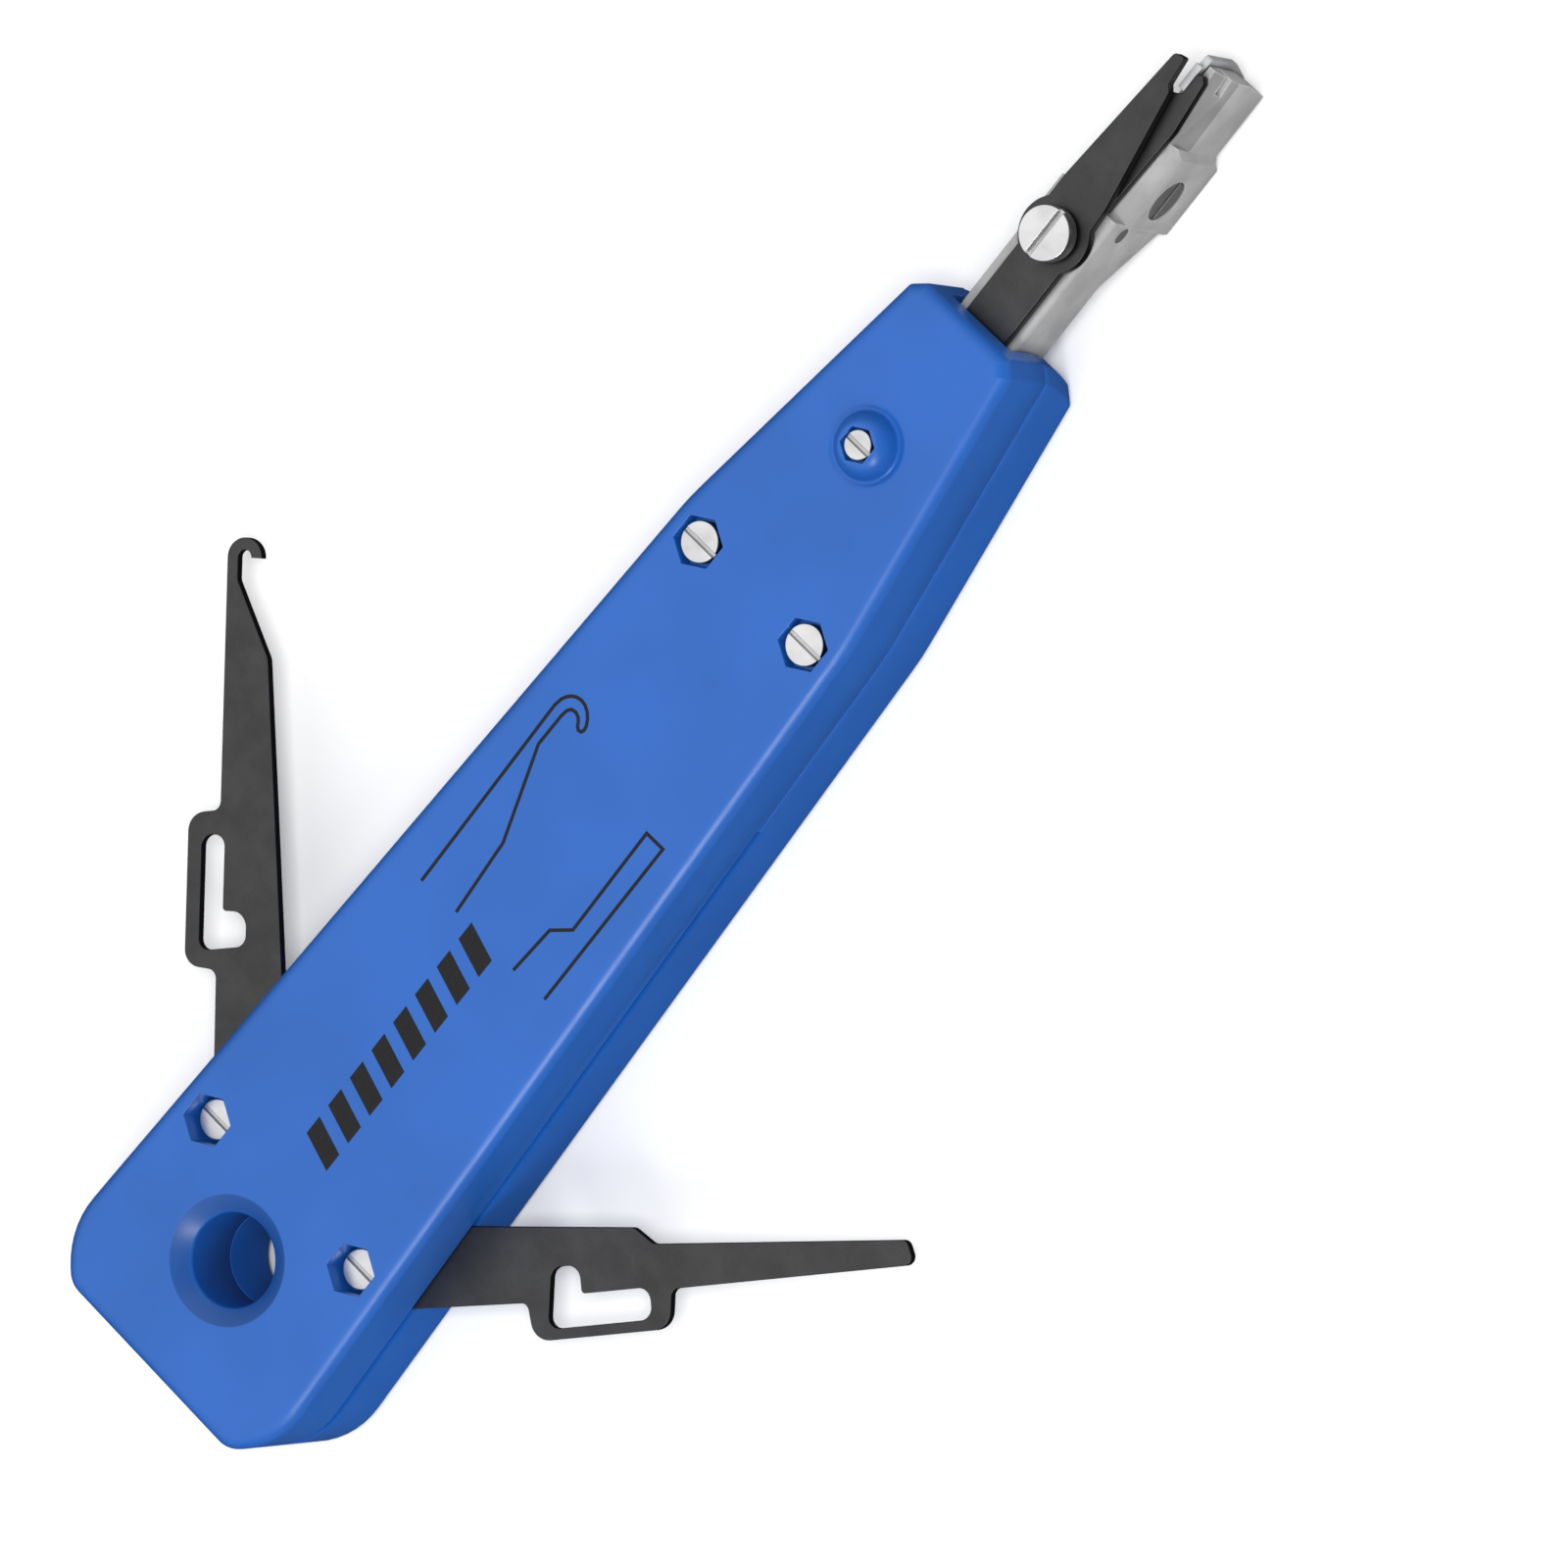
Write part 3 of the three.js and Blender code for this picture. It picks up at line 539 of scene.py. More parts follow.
PLASTIC = moulded_plastic("blue_plastic", colour(26, 88, 170))
BLACK_STEEL = metal(
    "black_oxide_steel", colour(82, 82, 83), 0.42,
    wear=colour(112, 112, 114), wear_width=0.12, grain=(3.0, (1, 1, 1), 0.12, 0.02), spots=0.25,
)
BRIGHT_STEEL = metal(
    "zinc_plate", colour(236, 236, 237), 0.32,
    wear=colour(246, 246, 246), wear_width=0.1, grain=(4.0, (1, 1, 0.3), 0.1, 0.015),
)
BLADE_STEEL = metal(
    "ground_steel", colour(196, 197, 199), 0.3,
    metallic=0.4, grain=(6.0, (1, 0.15, 4), 0.15, 0.01),
)
CAST_METAL = metal(
    "satin_nickel_casting", colour(171, 171, 171), 0.55, metallic=0.2,
    wear=colour(205, 205, 205), wear_width=0.3, grain=(3.0, (1, 0.6, 1), 0.1, 0.02), spots=0.08,
)
# A darker copy of the casting's metal for the cheek's sloped facet: painted shade.
SHADE_PAINTED_CASTING = metal(
    "shade_painted_casting", colour(140, 140, 140), 0.55, metallic=0.2,
    wear=colour(190, 190, 190), wear_width=0.3, grain=(3.0, (1, 0.2, 1), 0.1, 0.02), spots=0.08,
)
DARK_STEEL = metal(
    "darkened_steel", colour(116, 116, 116), 0.4, metallic=0.4,
    wear=colour(160, 160, 160), wear_width=0.12, grain=(4.0, (1, 1, 1), 0.12, 0.02), spots=0.15,
)
SPRING_STEEL = metal("spring_wire", colour(190, 190, 192), 0.31, grain=(5.0, (1, 1, 1), 0.1, 0.01))
INK = printing_ink()

# ---------------------------------------- handle shells


def half_width(y):
    bend = HALF_WIDTH_0 - TAIL_TAPER * BEND_Y
    return HALF_WIDTH_0 - TAIL_TAPER * y if y < BEND_Y else bend - HEAD_TAPER * (y - BEND_Y)


def handle_outline(end_y, into):
    """The handle's plan, moved in by some depth, with its front end at end_y."""
    corner_y = end_y - END_CHAMFER
    right = [
        (TAIL_CORNER["x"], TAIL_Y, TAIL_CORNER["end_round"]),
        (half_width(TAIL_CORNER["y"]), TAIL_CORNER["y"], TAIL_CORNER["side_round"]),
        (half_width(BEND_Y), BEND_Y, BEND_RADIUS),
        (half_width(corner_y), corner_y, 0.5),
        (half_width(end_y) - END_CHAMFER, end_y, 0.5),
    ]
    corners = [(-x, *rest) for x, *rest in reversed(right)] + right
    places = inset([Vector(c[:2]) for c in corners], into)
    return outline([(p.x, p.y, max(c[2] - into, 0.05)) for p, c in zip(places, corners)])


def shell_walls(is_front):
    """(depth below the face, inset) of the rings from the parting face to the outer face."""
    parting = MID - SEAM
    lip = PARTING_ROUND
    levels = [(parting, lip + SUPPORT)]
    levels += [(parting - lip * (1 - math.cos(a)), lip * (1 - math.sin(a))) for a in quarter(2)]
    steps = 2 if is_front else 7  # more of them where the back shell's end is swept
    room = parting - lip - EDGE_ROUND
    levels += [(EDGE_ROUND + room * (1 - k / steps), 0) for k in range(1, steps)]
    for a in quarter(10):
        levels.append((EDGE_ROUND * (1 - math.sin(a)), EDGE_ROUND * (1 - math.cos(a))))
    levels.append((0, EDGE_ROUND + SUPPORT))
    return levels


def lanyard_profile():
    """(radius, depth) from the face down the hole's flared mouth to the parting face."""
    lip = 0.12  # the broken edge round the mouth, and its depth
    lip_deep = 0.04
    parting = MID - SEAM
    inner = 0.55  # rounding where the flare meets the bore
    slope = math.atan2(HOLE_SINK, HOLE_MOUTH - HOLE_BORE)
    edge = [(HOLE_MOUTH + lip + SUPPORT, 0), (HOLE_MOUTH + lip, 0), (HOLE_MOUTH, lip_deep)]
    turn = math.pi / 2 - slope
    reach = inner * math.tan(turn / 2)
    centre = (HOLE_BORE + inner, HOLE_SINK + reach)
    steps = 6
    for k in range(steps + 1):
        a = math.pi / 2 + slope + turn * k / steps
        edge.append((centre[0] + inner * math.cos(a), centre[1] - inner * math.sin(a)))
    end = PARTING_ROUND
    edge += [(HOLE_BORE, parting - end), (HOLE_BORE + 0.3 * end, parting - 0.3 * end)]
    edge += [(HOLE_BORE + end, parting), (HOLE_BORE + end + SUPPORT, parting)]
    return edge


def pocket_levels(deep, lip=0.09):
    """(depth, inset) of a pocket's wall from its rounded mouth to its floor."""
    mouth = [(lip * (1 - math.cos(a)), lip * (1 - math.sin(a))) for a in quarter(3)]
    return [(0, lip + SUPPORT), *mouth, (deep, 0)]


def dome_profile():
    """(radius, height above the face) of the ring groove and the domed boss inside it."""
    return [
        (4.35, 0.0), (4.3, 0.0), (4.14, -0.02), (3.98, -0.07), (3.82, -0.14), (3.68, -0.19),
        (3.56, -0.2), (3.46, -0.14), (3.38, -0.02), (3.3, 0.18), (3.2, 0.5), (3.04, 0.92),
        (2.82, 1.3), (2.56, 1.6), (2.3, 1.8), (2.08, 1.92), (2.04, 1.93),
    ]


def blade_recess():
    """Outline of the room for both folding blades, round the island between them."""
    near, far = 5.7, 7.57  # half width of the island at y = 0 and at the slots' end
    boss = 7.5  # its round end about the lanyard hole
    reach = 40
    start = math.degrees(math.acos(near / boss))
    right = [(reach, SLOT_END_Y), (far, SLOT_END_Y), (near, 0)]
    left = [(-x, y) for x, y in reversed(right)]
    round_boss = arc(0, HOLE_Y, boss, start, -180 - start, 40)
    return outline([(-reach, -reach), (reach, -reach), *right, *round_boss, *left])


def shell_cutters(is_front):
    """The passages inside the handle: blade room, head channel, lever bay and coring."""
    past = 1.0  # how far a cutter reaches past what it cuts
    neck = 4.2  # half width of the mouth that the head comes out of
    low, high, rounding = 4.9, 14.2, 0.3  # its height and its corners
    end = END_Y + past
    lever_bay = [
        (-6.5, 86), (5.1, 86), (5.1, 110.6), (neck, 111.6), (neck, end), (-neck, end),
        (-neck, 107.4), (-6.5, 95),
    ]
    corners = ((low, -neck), (high, -neck), (high, neck), (low, neck))
    mouth = outline([(*corner, rounding) for corner in corners])
    cutters = [
        block(blade_recess(), MID - SLOT_HALF, MID + SLOT_HALF),
        box((-4.1, 62.5, 5.0), (4.1, END_Y - past, 12.5)),  # head channel
        box((-5.2, 61.2, 4.0), (5.2, 62.6, 13.5)),  # seat of the backing plate
        moved(block(mouth, END_Y - 3, end), TO_END),
    ]
    if is_front:
        cutters.append(block(outline(lever_bay), 12.4, high))
    wall = 2.4  # left over the coring pockets
    half, long = 4, 16
    floor, top = (MID - past, THICK - wall) if is_front else (wall, MID + past)
    for y in (3.5, 21.5, 39.5):
        cutters.append(box((-half, y, floor), (half, y + long, top)))
    return cutters


SCREW_HEAD_TALL = 1.7
CAM_HEAD_TALL = 1.2
SCREW_HOLE = 1.4  # radius of the shells' holes for the screws' shanks
CAM_SCREW_HOLE = 1.1
NUT_SINK = 0.2  # how much deeper a nut's pocket is than its nut


def shell(is_front):
    """One half of the handle, from its parting face out to its flat face."""
    def height(depth):
        return THICK - depth if is_front else depth

    def end_at(z):
        """Where the shell ends at this height: the back shell's end is swept back."""
        return END_Y if is_front else END_Y - max(0, SWEEP_TOP - z) ** 2 / (2 * SWEEP_RADIUS)

    skin = Skin()
    walls = []
    for depth, into in shell_walls(is_front):
        z = height(depth)
        walls.append(skin.ring(handle_outline(end_at(z), into), z))
    skin.stack(walls)
    face = [walls[-1]]
    parting = [walls[0]]

    lanyard = [skin.ring(circle(0, HOLE_Y, r, 96), height(d)) for r, d in lanyard_profile()]
    skin.stack(lanyard)
    face.append(lanyard[0])
    parting.append(lanyard[-1])

    def shank_hole(x, y, radius, top):
        rings = [skin.ring(circle(x, y, radius, 32), height(d)) for d in (top, MID - SEAM)]
        skin.stack(rings)
        parting.append(rings[1])
        return rings[0]

    def pocket(x, y, radius, deep, hole):
        loop = wound(hexagon(x, y, radius), False)
        rings = [skin.ring(inset(loop, into), height(d)) for d, into in pocket_levels(deep)]
        skin.stack(rings)
        face.append(rings[0])
        skin.cap(rings[-1], shank_hole(x, y, hole, deep))

    for side in (-1, 1):
        name = "right" if side > 0 else "left"
        for kind, x, y in (("pivot", TAIL_SCREW_X, 0), ("housing", UPPER_SCREW.x, UPPER_SCREW.y)):
            if is_front:
                deep = THICK - mm_box(f"{kind}_screw_{name}")[1].z + SCREW_HEAD_TALL
            else:
                deep = mm_box(f"{kind}_nut_{name}")[1].z + NUT_SINK
            pocket(side * x, y, BIG_HEX, deep, SCREW_HOLE)
    if is_front:
        rings = [skin.ring(circle(0, CAM_Y, r, 72), THICK + h) for r, h in dome_profile()]
        skin.stack(rings)
        face.append(rings[0])
        crown = dome_profile()[-1][1]
        loop = wound(hexagon(0, CAM_Y, SMALL_HEX), False)
        floor = THICK - (mm_box("cam_screw")[1].z - CAM_HEAD_TALL)
        levels = [(depth - crown, into) for depth, into in pocket_levels(floor + crown, 0.06)]
        hexes = [skin.ring(inset(loop, into), height(depth)) for depth, into in levels]
        skin.stack(hexes)
        skin.cap(rings[-1], hexes[0])
        skin.cap(hexes[-1], shank_hole(0, CAM_Y, CAM_SCREW_HOLE, floor))
    else:
        pocket(0, CAM_Y, SMALL_HEX, mm_box("cam_nut")[1].z + NUT_SINK, CAM_SCREW_HOLE)
    skin.cap(*face)
    skin.cap(*parting)
    return carved(skin.done(), shell_cutters(is_front))


piece("front_shell_moulding", shell(True), "handle", PLASTIC, "front_shell")
piece("back_shell_moulding", shell(False), "handle", PLASTIC, "back_shell")

# ---------------------------------------- print on the front face


def ribbon(points, width):
    """Outline of a line of even width through the points."""
    line = [Vector(p) for p in points]
    sides = ([], [])
    for i, point in enumerate(line):
        before = (point - line[i - 1]).normalized() if i else None
        after = (line[i + 1] - point).normalized() if i + 1 < len(line) else None
        first = before or after
        second = after or before
        normals = [Vector((-d.y, d.x)) for d in (first, second)]
        both = normals[0] + normals[1]
        shift = both * (width / both.length_squared)
        sides[0].append(point + shift)
        sides[1].append(point - shift)
    return sides[0] + sides[1][::-1]


INK_LOW = THICK - 0.02
INK_HIGH = THICK + 0.03
LINE_WIDTH = 0.36


def printed(name, shape):
    piece(name, slab(shape, INK_LOW, INK_HIGH, edge=0.01, steps=1), "handle", INK)


hook_mark = [
    (-8.66, 34.2), (-8.98, 57.0), (-8.82, 57.95), (-8.53, 58.5), (-8.12, 58.95), (-7.64, 59.23),
    (-7.07, 59.34), (-6.45, 59.26), (-5.79, 58.9), (-5.3, 58.4), (-4.95, 57.8), (-4.86, 57.35),
    (-5.0, 57.0), (-5.35, 56.92), (-5.67, 57.14), (-5.88, 57.5), (-6.2, 57.85), (-6.71, 58.05),
    (-7.28, 57.94), (-7.6, 57.5), (-7.72, 56.73), (-7.79, 53.0), (-4.28, 43.1), (-3.67, 34.5),
]
printed("hook_mark", ribbon(hook_mark, LINE_WIDTH))
spudger_mark = [
    (4.93, 34.5), (5.34, 40.15), (7.25, 41.9), (7.05, 54.4), (9.43, 54.43), (9.43, 34.7),
]
printed("spudger_mark", ribbon(spudger_mark, LINE_WIDTH))

# A plain row of slanted bars along the handle.
BAR_COUNT = 8
BAR_PITCH = 3.7
BAR_WIDE = 2.2
BAR_SLANT = 1.3
FIRST_BAR_Y = 5.5
BAR_LEFT, BAR_RIGHT = -1.7, 2.5
for number in range(BAR_COUNT):
    start = FIRST_BAR_Y + number * BAR_PITCH
    printed(f"stripe_{number + 1}", outline([
        (BAR_LEFT, start + BAR_SLANT),
        (BAR_RIGHT, start),
        (BAR_RIGHT, start + BAR_WIDE),
        (BAR_LEFT, start + BAR_WIDE + BAR_SLANT),
    ]))

# ---------------------------------------- screws and nuts


def slot_cutter(length, wide, deep):
    """Cuts a slot along X, with slightly broken edges, into a face at height 0."""
    half = wide / 2
    mouth = half + 0.06
    section = [
        (-half, -deep), (half, -deep), (half, -0.05), (mouth, 0.01), (mouth, 1),
        (-mouth, 1), (-mouth, 0.01), (-half, -0.05),
    ]
    return moved(block(outline(section), -length, length), TO_SIDE)


def screw(head, head_tall, shank, long, slot_wide, slot_deep, along_y=False):
    """A slotted cheese-head screw with its top at height 0 and its thread at the far end.

    Head and shank are radii. The slot runs along X, or along Y.
    """
    edge = 0.14  # rounding of the head's upper edge
    broken = 0.06  # and of its lower edge
    rim = [(head - edge * (1 - math.sin(a)), -edge * (1 - math.cos(a))) for a in quarter(4)]
    profile = [(0, 0), (head - edge - SUPPORT, 0), *rim]
    profile += [(head, -head_tall + broken), (head - broken, -head_tall), (shank, -head_tall)]
    pitch = 0.45
    most_threads = 7
    plain = 0.6  # shank left plain under the head
    point = 0.25  # length of the tapered point
    threads = int(min(most_threads, (long - head_tall - plain) / pitch))
    start = -long + point + threads * pitch
    profile.append((shank, start))
    for k in range(threads):
        z = start - k * pitch
        profile += [(shank * 0.84, z - 0.5 * pitch), (shank, z - pitch)]
    profile += [(shank * 0.8, -long), (0, -long)]
    cutter = slot_cutter(head + 1, slot_wide, slot_deep)
    if along_y:
        moved(cutter, Matrix.Rotation(math.pi / 2, 4, "Z"))
    return carved(lathe(profile, 72), [cutter])


def nut(radius, bore, tall):
    """A hexagon nut with its corners turned down, from height 0 up."""
    ring = slab(hexagon(0, 0, radius, 0.05), 0, tall, 0.04, [circle(0, 0, bore, 48)], steps=2)
    drop = 0.28
    flat = radius * 0.88
    past = radius + 0.02
    turned = [(0, 0), (flat, 0), (past, drop), (past, tall - drop), (flat, tall), (0, tall)]
    return carved(ring, kept=[lathe(turned, 72)])


def place_screw(
    node, body, head_tall=SCREW_HEAD_TALL, shank=1.25, slot_wide=0.48, slot_deep=0.3,
    along_y=False,
):
    """A plated screw in the place of its CAD node, which gives its length and its head's width."""
    low, high = mm_box(node)
    centre = (low + high) / 2
    head, long = (high.x - low.x) / 2, high.z - low.z
    shape = screw(head, head_tall, shank, long, slot_wide, slot_deep, along_y)
    at(shape, *centre.xy, high.z)
    piece(f"{node}_turned", shape, body, BRIGHT_STEEL, node)


def place_nut(node, radius, bore):
    """A plated nut in the place of its CAD node, which gives its height."""
    low, high = mm_box(node)
    centre = (low + high) / 2
    shape = at(nut(radius, bore, high.z - low.z), *centre.xy, low.z)
    piece(f"{node}_pressed", shape, "handle", BRIGHT_STEEL, node)


for side in ("left", "right"):
    for kind in ("pivot", "housing"):
        place_screw(f"{kind}_screw_{side}", "handle")
        place_nut(f"{kind}_nut_{side}", radius=2.55, bore=1.33)
place_screw("cam_screw", "handle", head_tall=CAM_HEAD_TALL, shank=1.0)
place_nut("cam_nut", radius=1.75, bore=1.05)
place_screw("lever_screw", "head", shank=1.5, slot_wide=0.62, slot_deep=0.6, along_y=True)


def ring(outer, inner, low, high, edge):
    """A turned ring with slightly broken edges."""
    profile = [
        (inner + edge, low), (outer - edge, low), (outer, low + edge), (outer, high - edge),
        (outer - edge, high), (inner + edge, high), (inner, high - edge), (inner, low + edge),
    ]
    return lathe(profile, 72, closed=True)


def place_ring(node, name, body, material, inner, edge):
    low, high = mm_box(node)
    centre = (low + high) / 2
    shape = at(ring((high.x - low.x) / 2, inner, low.z, high.z, edge), *centre.xy)
    piece(name, shape, body, material, node)


place_ring("lever_washer", "lever_washer_stamped", "head", DARK_STEEL, 1.6, 0.08)
place_ring("cam_roller", "cam_roller_sleeve", "handle", BRIGHT_STEEL, 1.15, 0.1)

# ---------------------------------------- folding blades


def hook_outline():
    """The hook blade from its pivot along +X, with its thumb loop above."""
    tip = (56.6, 2.45)  # the centre that the hook bends round
    outer = arc(*tip, 2.0, -93.6, 90, 20)
    inner = arc(*tip, 0.75, 90, -93.6, 14)
    corners = [(0, -4.2), (14.2, -3.3), (46.4, -0.6, 2), (54.3, 3.2, 1), *inner, *outer]
    corners += [(31, 4.45, 1), (30.6, 8.15, 2), (15.2, 8.15, 1.8), (14.8, 4.45, 1), (0, 4.3)]
    return corners


HOOK_OPENING = [
    (17.3, 1.1, 1.2), (20.8, 1.1, 1.6), (20.8, 3.85, 0.4),
    (28.5, 3.85, 1.2), (28.5, 6.5, 1.2), (16.7, 6.5, 1.1),
]
SPUDGER_OUTLINE = [
    (0, -3.4), (27.6, -1.5, 1), (29.6, 0.3, 1), (57.4, 2.4, 0.8), (58.0, 4.9, 0.9),
    (31.2, 4.9, 0.8), (30.6, 8.8, 2), (15.3, 8.8, 2), (14.9, 4.9, 0.8), (0, 4.3),
]
SPUDGER_OPENING = [
    (18.0, 1.6, 1.2), (21.1, 1.6, 1.4), (21.1, 4.5, 0.4),
    (28.7, 4.5, 1.3), (28.7, 7.7, 1.3), (17.0, 7.7, 1.1),
]


def with_root(corners, radius=4.3):
    """The blade's outline closed by its round root about the pivot."""
    root = arc(0, 0, radius, 90, 260, 24)
    return outline([*corners[1:-1], *root])


def folding_blade(corners, opening, angle, x, flip=False):
    """A flat blade turned about its pivot, where flip puts its thumb loop on the other side."""
    loops = [with_root(corners), outline(opening)]
    if flip:
        loops = [[Vector((p.x, -p.y)) for p in loop] for loop in loops]
    outer, window = loops
    mesh = slab(outer, BLADE_LOW.z, BLADE_HIGH.z, 0.1, [window, circle(0, 0, BLADE_BORE, 40)])
    return moved(mesh, Matrix.Translation((x, 0, 0)) @ Matrix.Rotation(angle, 4, "Z"))


hook = folding_blade(hook_outline(), HOOK_OPENING, HOOK_ANGLE, -TAIL_SCREW_X)
piece("hook_blade_stamped", hook, "hook", BLACK_STEEL, "hook_blade")
spudger = folding_blade(SPUDGER_OUTLINE, SPUDGER_OPENING, SPUDGER_ANGLE, TAIL_SCREW_X, flip=True)
piece("spudger_blade_stamped", spudger, "spudger", BLACK_STEEL, "spudger_blade")

# ---------------------------------------- sliding head


def casting():
    """The arm, the block and the cheek of the head, with their slots and screw seats."""
    arm_half, arm_back, arm_front = 3.8, 5.3, 12.2
    half, front, front_round = CASTING_HIGH.x, 11.1, 2.6
    cheek_out, cheek_in, cheek_back = 3.4, 1.0, 1.3
    tail, end = CASTING_LOW.y, CASTING_HIGH.y
    step, arm_end, block_end = 129.4, 129.8, 138.9  # the block's tail end, the arm's end
    past = 9  # reach of cutters through the whole head

    arm_section = outline([
        (0, -arm_half), (arm_front, -arm_half, 0.25), (arm_front, arm_half, 0.7), (0, arm_half),
    ])
    arm = moved(block(arm_section, tail, arm_end), TO_END)
    stock_section = outline([
        (0, -half), (front, -half, front_round), (front, half, front_round), (0, half),
    ], math.radians(6))
    stock = moved(block(stock_section, arm_end - 0.2, block_end), TO_END)
    shoulder = block_end - 0.9
    plan = outline([
        (-half, 128), (half, 128), (half, shoulder), (cheek_out, block_end),
        (-cheek_out, block_end), (-half, shoulder),
    ])
    stock = carved(stock, kept=[block(plan, -1, 13)])
    cheek = bmesh.new()
    for y, nose, knee in ((block_end - 2, 2.6, 7.5), (end, 1.7, 8.2)):
        for x, z in (
            (cheek_in, 0), (cheek_out, 0), (cheek_out, knee), (nose, front), (cheek_in, front),
        ):
            cheek.verts.new((x, y, z))
    bmesh.ops.convex_hull(cheek, input=cheek.verts)
    side = outline([
        (tail, arm_back), (122.3, arm_back, 2), (step, 1.7, 0.2), (step, CASTING_LOW.z),
        (137.6, CASTING_LOW.z), (138.3, cheek_back), (146.4, cheek_back, 0.3), (end, 5.6, 0.5),
        (end, 14), (tail, 14),
    ])
    seat = moved(block(circle(0, 0, 2.4, 64), 2.6, past), TO_SIDE)
    bore = moved(block(circle(0, 0, SIDE_BORE, 40), -past, past), TO_SIDE)
    pin_bore = moved(block(circle(0, 0, PIN_BORE, 40), -past, past), TO_SIDE)
    slot_half = 1.7
    cam_slot = outline([
        (-slot_half, CAM_Y - slot_half, 1.5), (slot_half, CAM_Y - slot_half, 1.5),
        (slot_half, CAM_Y + SLIDE + slot_half, 1.5), (-slot_half, CAM_Y + SLIDE + slot_half, 1.5),
    ])
    rod_bore = moved(block(circle(SPRING_MID_Z, 0, 1.45, 40), tail - 1, tail + 5), TO_END)
    cutters = [
        block(cam_slot, 0, 18),
        box((-0.05, 127.2, 2.6), (0.95, end + 1, 18)),  # slot of the insertion blade
        at(block(circle(0, 0, 1.6, 40), 6.8, 14), 0, PIVOT_Y, 0),  # hole of the lever screw
        rod_bore,
        at(bore, 0, SIDE_SCREW.y, SIDE_SCREW.z),
        at(seat, 0, SIDE_SCREW.y, SIDE_SCREW.z),
        at(pin_bore, 0, SIDE_PIN.y, SIDE_PIN.z),
        box((1.2, 145.2, 9.1), (6, end + 1, 9.75)),  # notch in the cheek's tip
    ]
    profile = moved(block(side, -past, past), TO_SIDE)
    whole = carved(arm, joined=[stock, cheek], kept=[profile], cutters=cutters)
    return softened(whole, 0.12)


def paint_cheek_shade(head):
    """A darker copy of the casting's material on the sloped facet down the cheek, as painted
    shade.
    """
    head.data.materials.append(SHADE_PAINTED_CASTING)
    for face in head.data.polygons:
        turned_up = 0.7 < face.normal.x < 0.99 and face.normal.z > 0.12
        if turned_up and abs(face.normal.y) < 0.2 and face.center.y > 138.9 * MM:
            face.material_index = 1


SPRING_MID_Z = (SPRING_LOW.z + SPRING_HIGH.z) / 2
paint_cheek_shade(piece(
    "head_casting_machined", casting(), "head", CAST_METAL, "head_casting",
))


def insertion_blade():
    """The flat blade that pushes the wire in, seen edge-on from the front."""
    profile = outline([
        (127.4, 2.8), (139.2, 2.8), (139.2, 1.6), (146.5, 1.6, 0.4), (147.9, 5.4, 0.6),
        (147.9, 11.2, 0.3), (146.8, 11.3), (146.8, 12.1), (143.9, 12.1), (143.9, 10.9),
        (127.4, 10.9),
    ])
    holes = [
        circle(SIDE_SCREW.y, SIDE_SCREW.z, 1.3, 40), circle(SIDE_PIN.y, SIDE_PIN.z, PIN_BORE, 32),
    ]
    mesh = slab(profile, HEAD_BLADE_LOW.x, HEAD_BLADE_HIGH.x, 0.06, holes)
    return moved(mesh, TO_SIDE)


piece(
    "insertion_blade_ground", insertion_blade(), "head", BLADE_STEEL,
    "insertion_blade",
)

jaw = outline([
    (-2.3, 129.9, 0.2), (2.35, 129.9, 0.2), (2.75, 140.3, 3), (2.1, 145.8, 0.4), (1.5, 146.4, 0.3),
    (0.98, 145.9, 0.2), (0.98, 143.6, 0.7), (-0.4, 142.9, 0.5), (-2.6, 138, 0.4),
])
jaw_mesh = slab(jaw, JAW_LOW.z, JAW_HIGH.z, 0.07)
piece("fixed_jaw_ground", jaw_mesh, "head", BLACK_STEEL, "fixed_jaw")

# The screw through the head's side, its slot along the tool.
side_low, side_high = mm_box("blade_screw")
side_screw = screw(2.3, 1.2, 1.2, side_high.x - side_low.x, slot_wide=0.55, slot_deep=0.6)
side_turn = Matrix.Rotation(math.pi / 2, 4, "Y") @ Matrix.Rotation(math.pi / 2, 4, "Z")
moved(side_screw, Matrix.Translation((side_high.x, SIDE_SCREW.y, SIDE_SCREW.z)) @ side_turn)
piece("blade_screw_turned", side_screw, "head", DARK_STEEL, "blade_screw")


def round_bar(radius, long, edge):
    """A plain bar along +Z from height 0, with rounded ends."""
    low = [(radius - edge * (1 - math.sin(a)), edge * (1 - math.cos(a))) for a in quarter(4)]
    high = [(r, long - z) for r, z in reversed(low)]
    return lathe([(0, 0), *low, *high, (0, long)], 48)


pin_low, pin_high = mm_box("locating_pin")
pin = round_bar((pin_high.z - pin_low.z) / 2, pin_high.x - pin_low.x, 0.12)
pin_place = Matrix.Translation((pin_low.x, SIDE_PIN.y, SIDE_PIN.z))
moved(pin, pin_place @ Matrix.Rotation(math.pi / 2, 4, "Y"))
piece("locating_pin_ground", pin, "head", DARK_STEEL, "locating_pin")

# ---------------------------------------- cutter lever


def roller_path(travel):
    """Where the cam roller lies in the lever's own frame when the head has gone in so far."""
    below = PIVOT_Y - CAM_Y - travel
    turn = CLOSING * travel / SLIDE
    return Vector((below * math.sin(turn), -below * math.cos(turn)))


def cam_slot_outline(radius):
    """The slanted slot that the roller runs in, round every place that it takes."""
    stops = [roller_path(SLIDE * k / 8) for k in range(9)]
    along = math.degrees(math.atan2(*(stops[-1] - stops[0]).yx))
    head = arc(*stops[-1], radius, along - 90, along + 90, 12)
    tail = arc(*stops[0], radius, along + 90, along + 270, 12)
    across = Matrix.Rotation(math.radians(along - 90), 2) @ Vector((radius, 0))
    right = [stop + across for stop in stops[1:-1]]
    left = [stop - across for stop in reversed(stops[1:-1])]
    return [Vector(p) for p in [*right, *head, *left, *tail]]


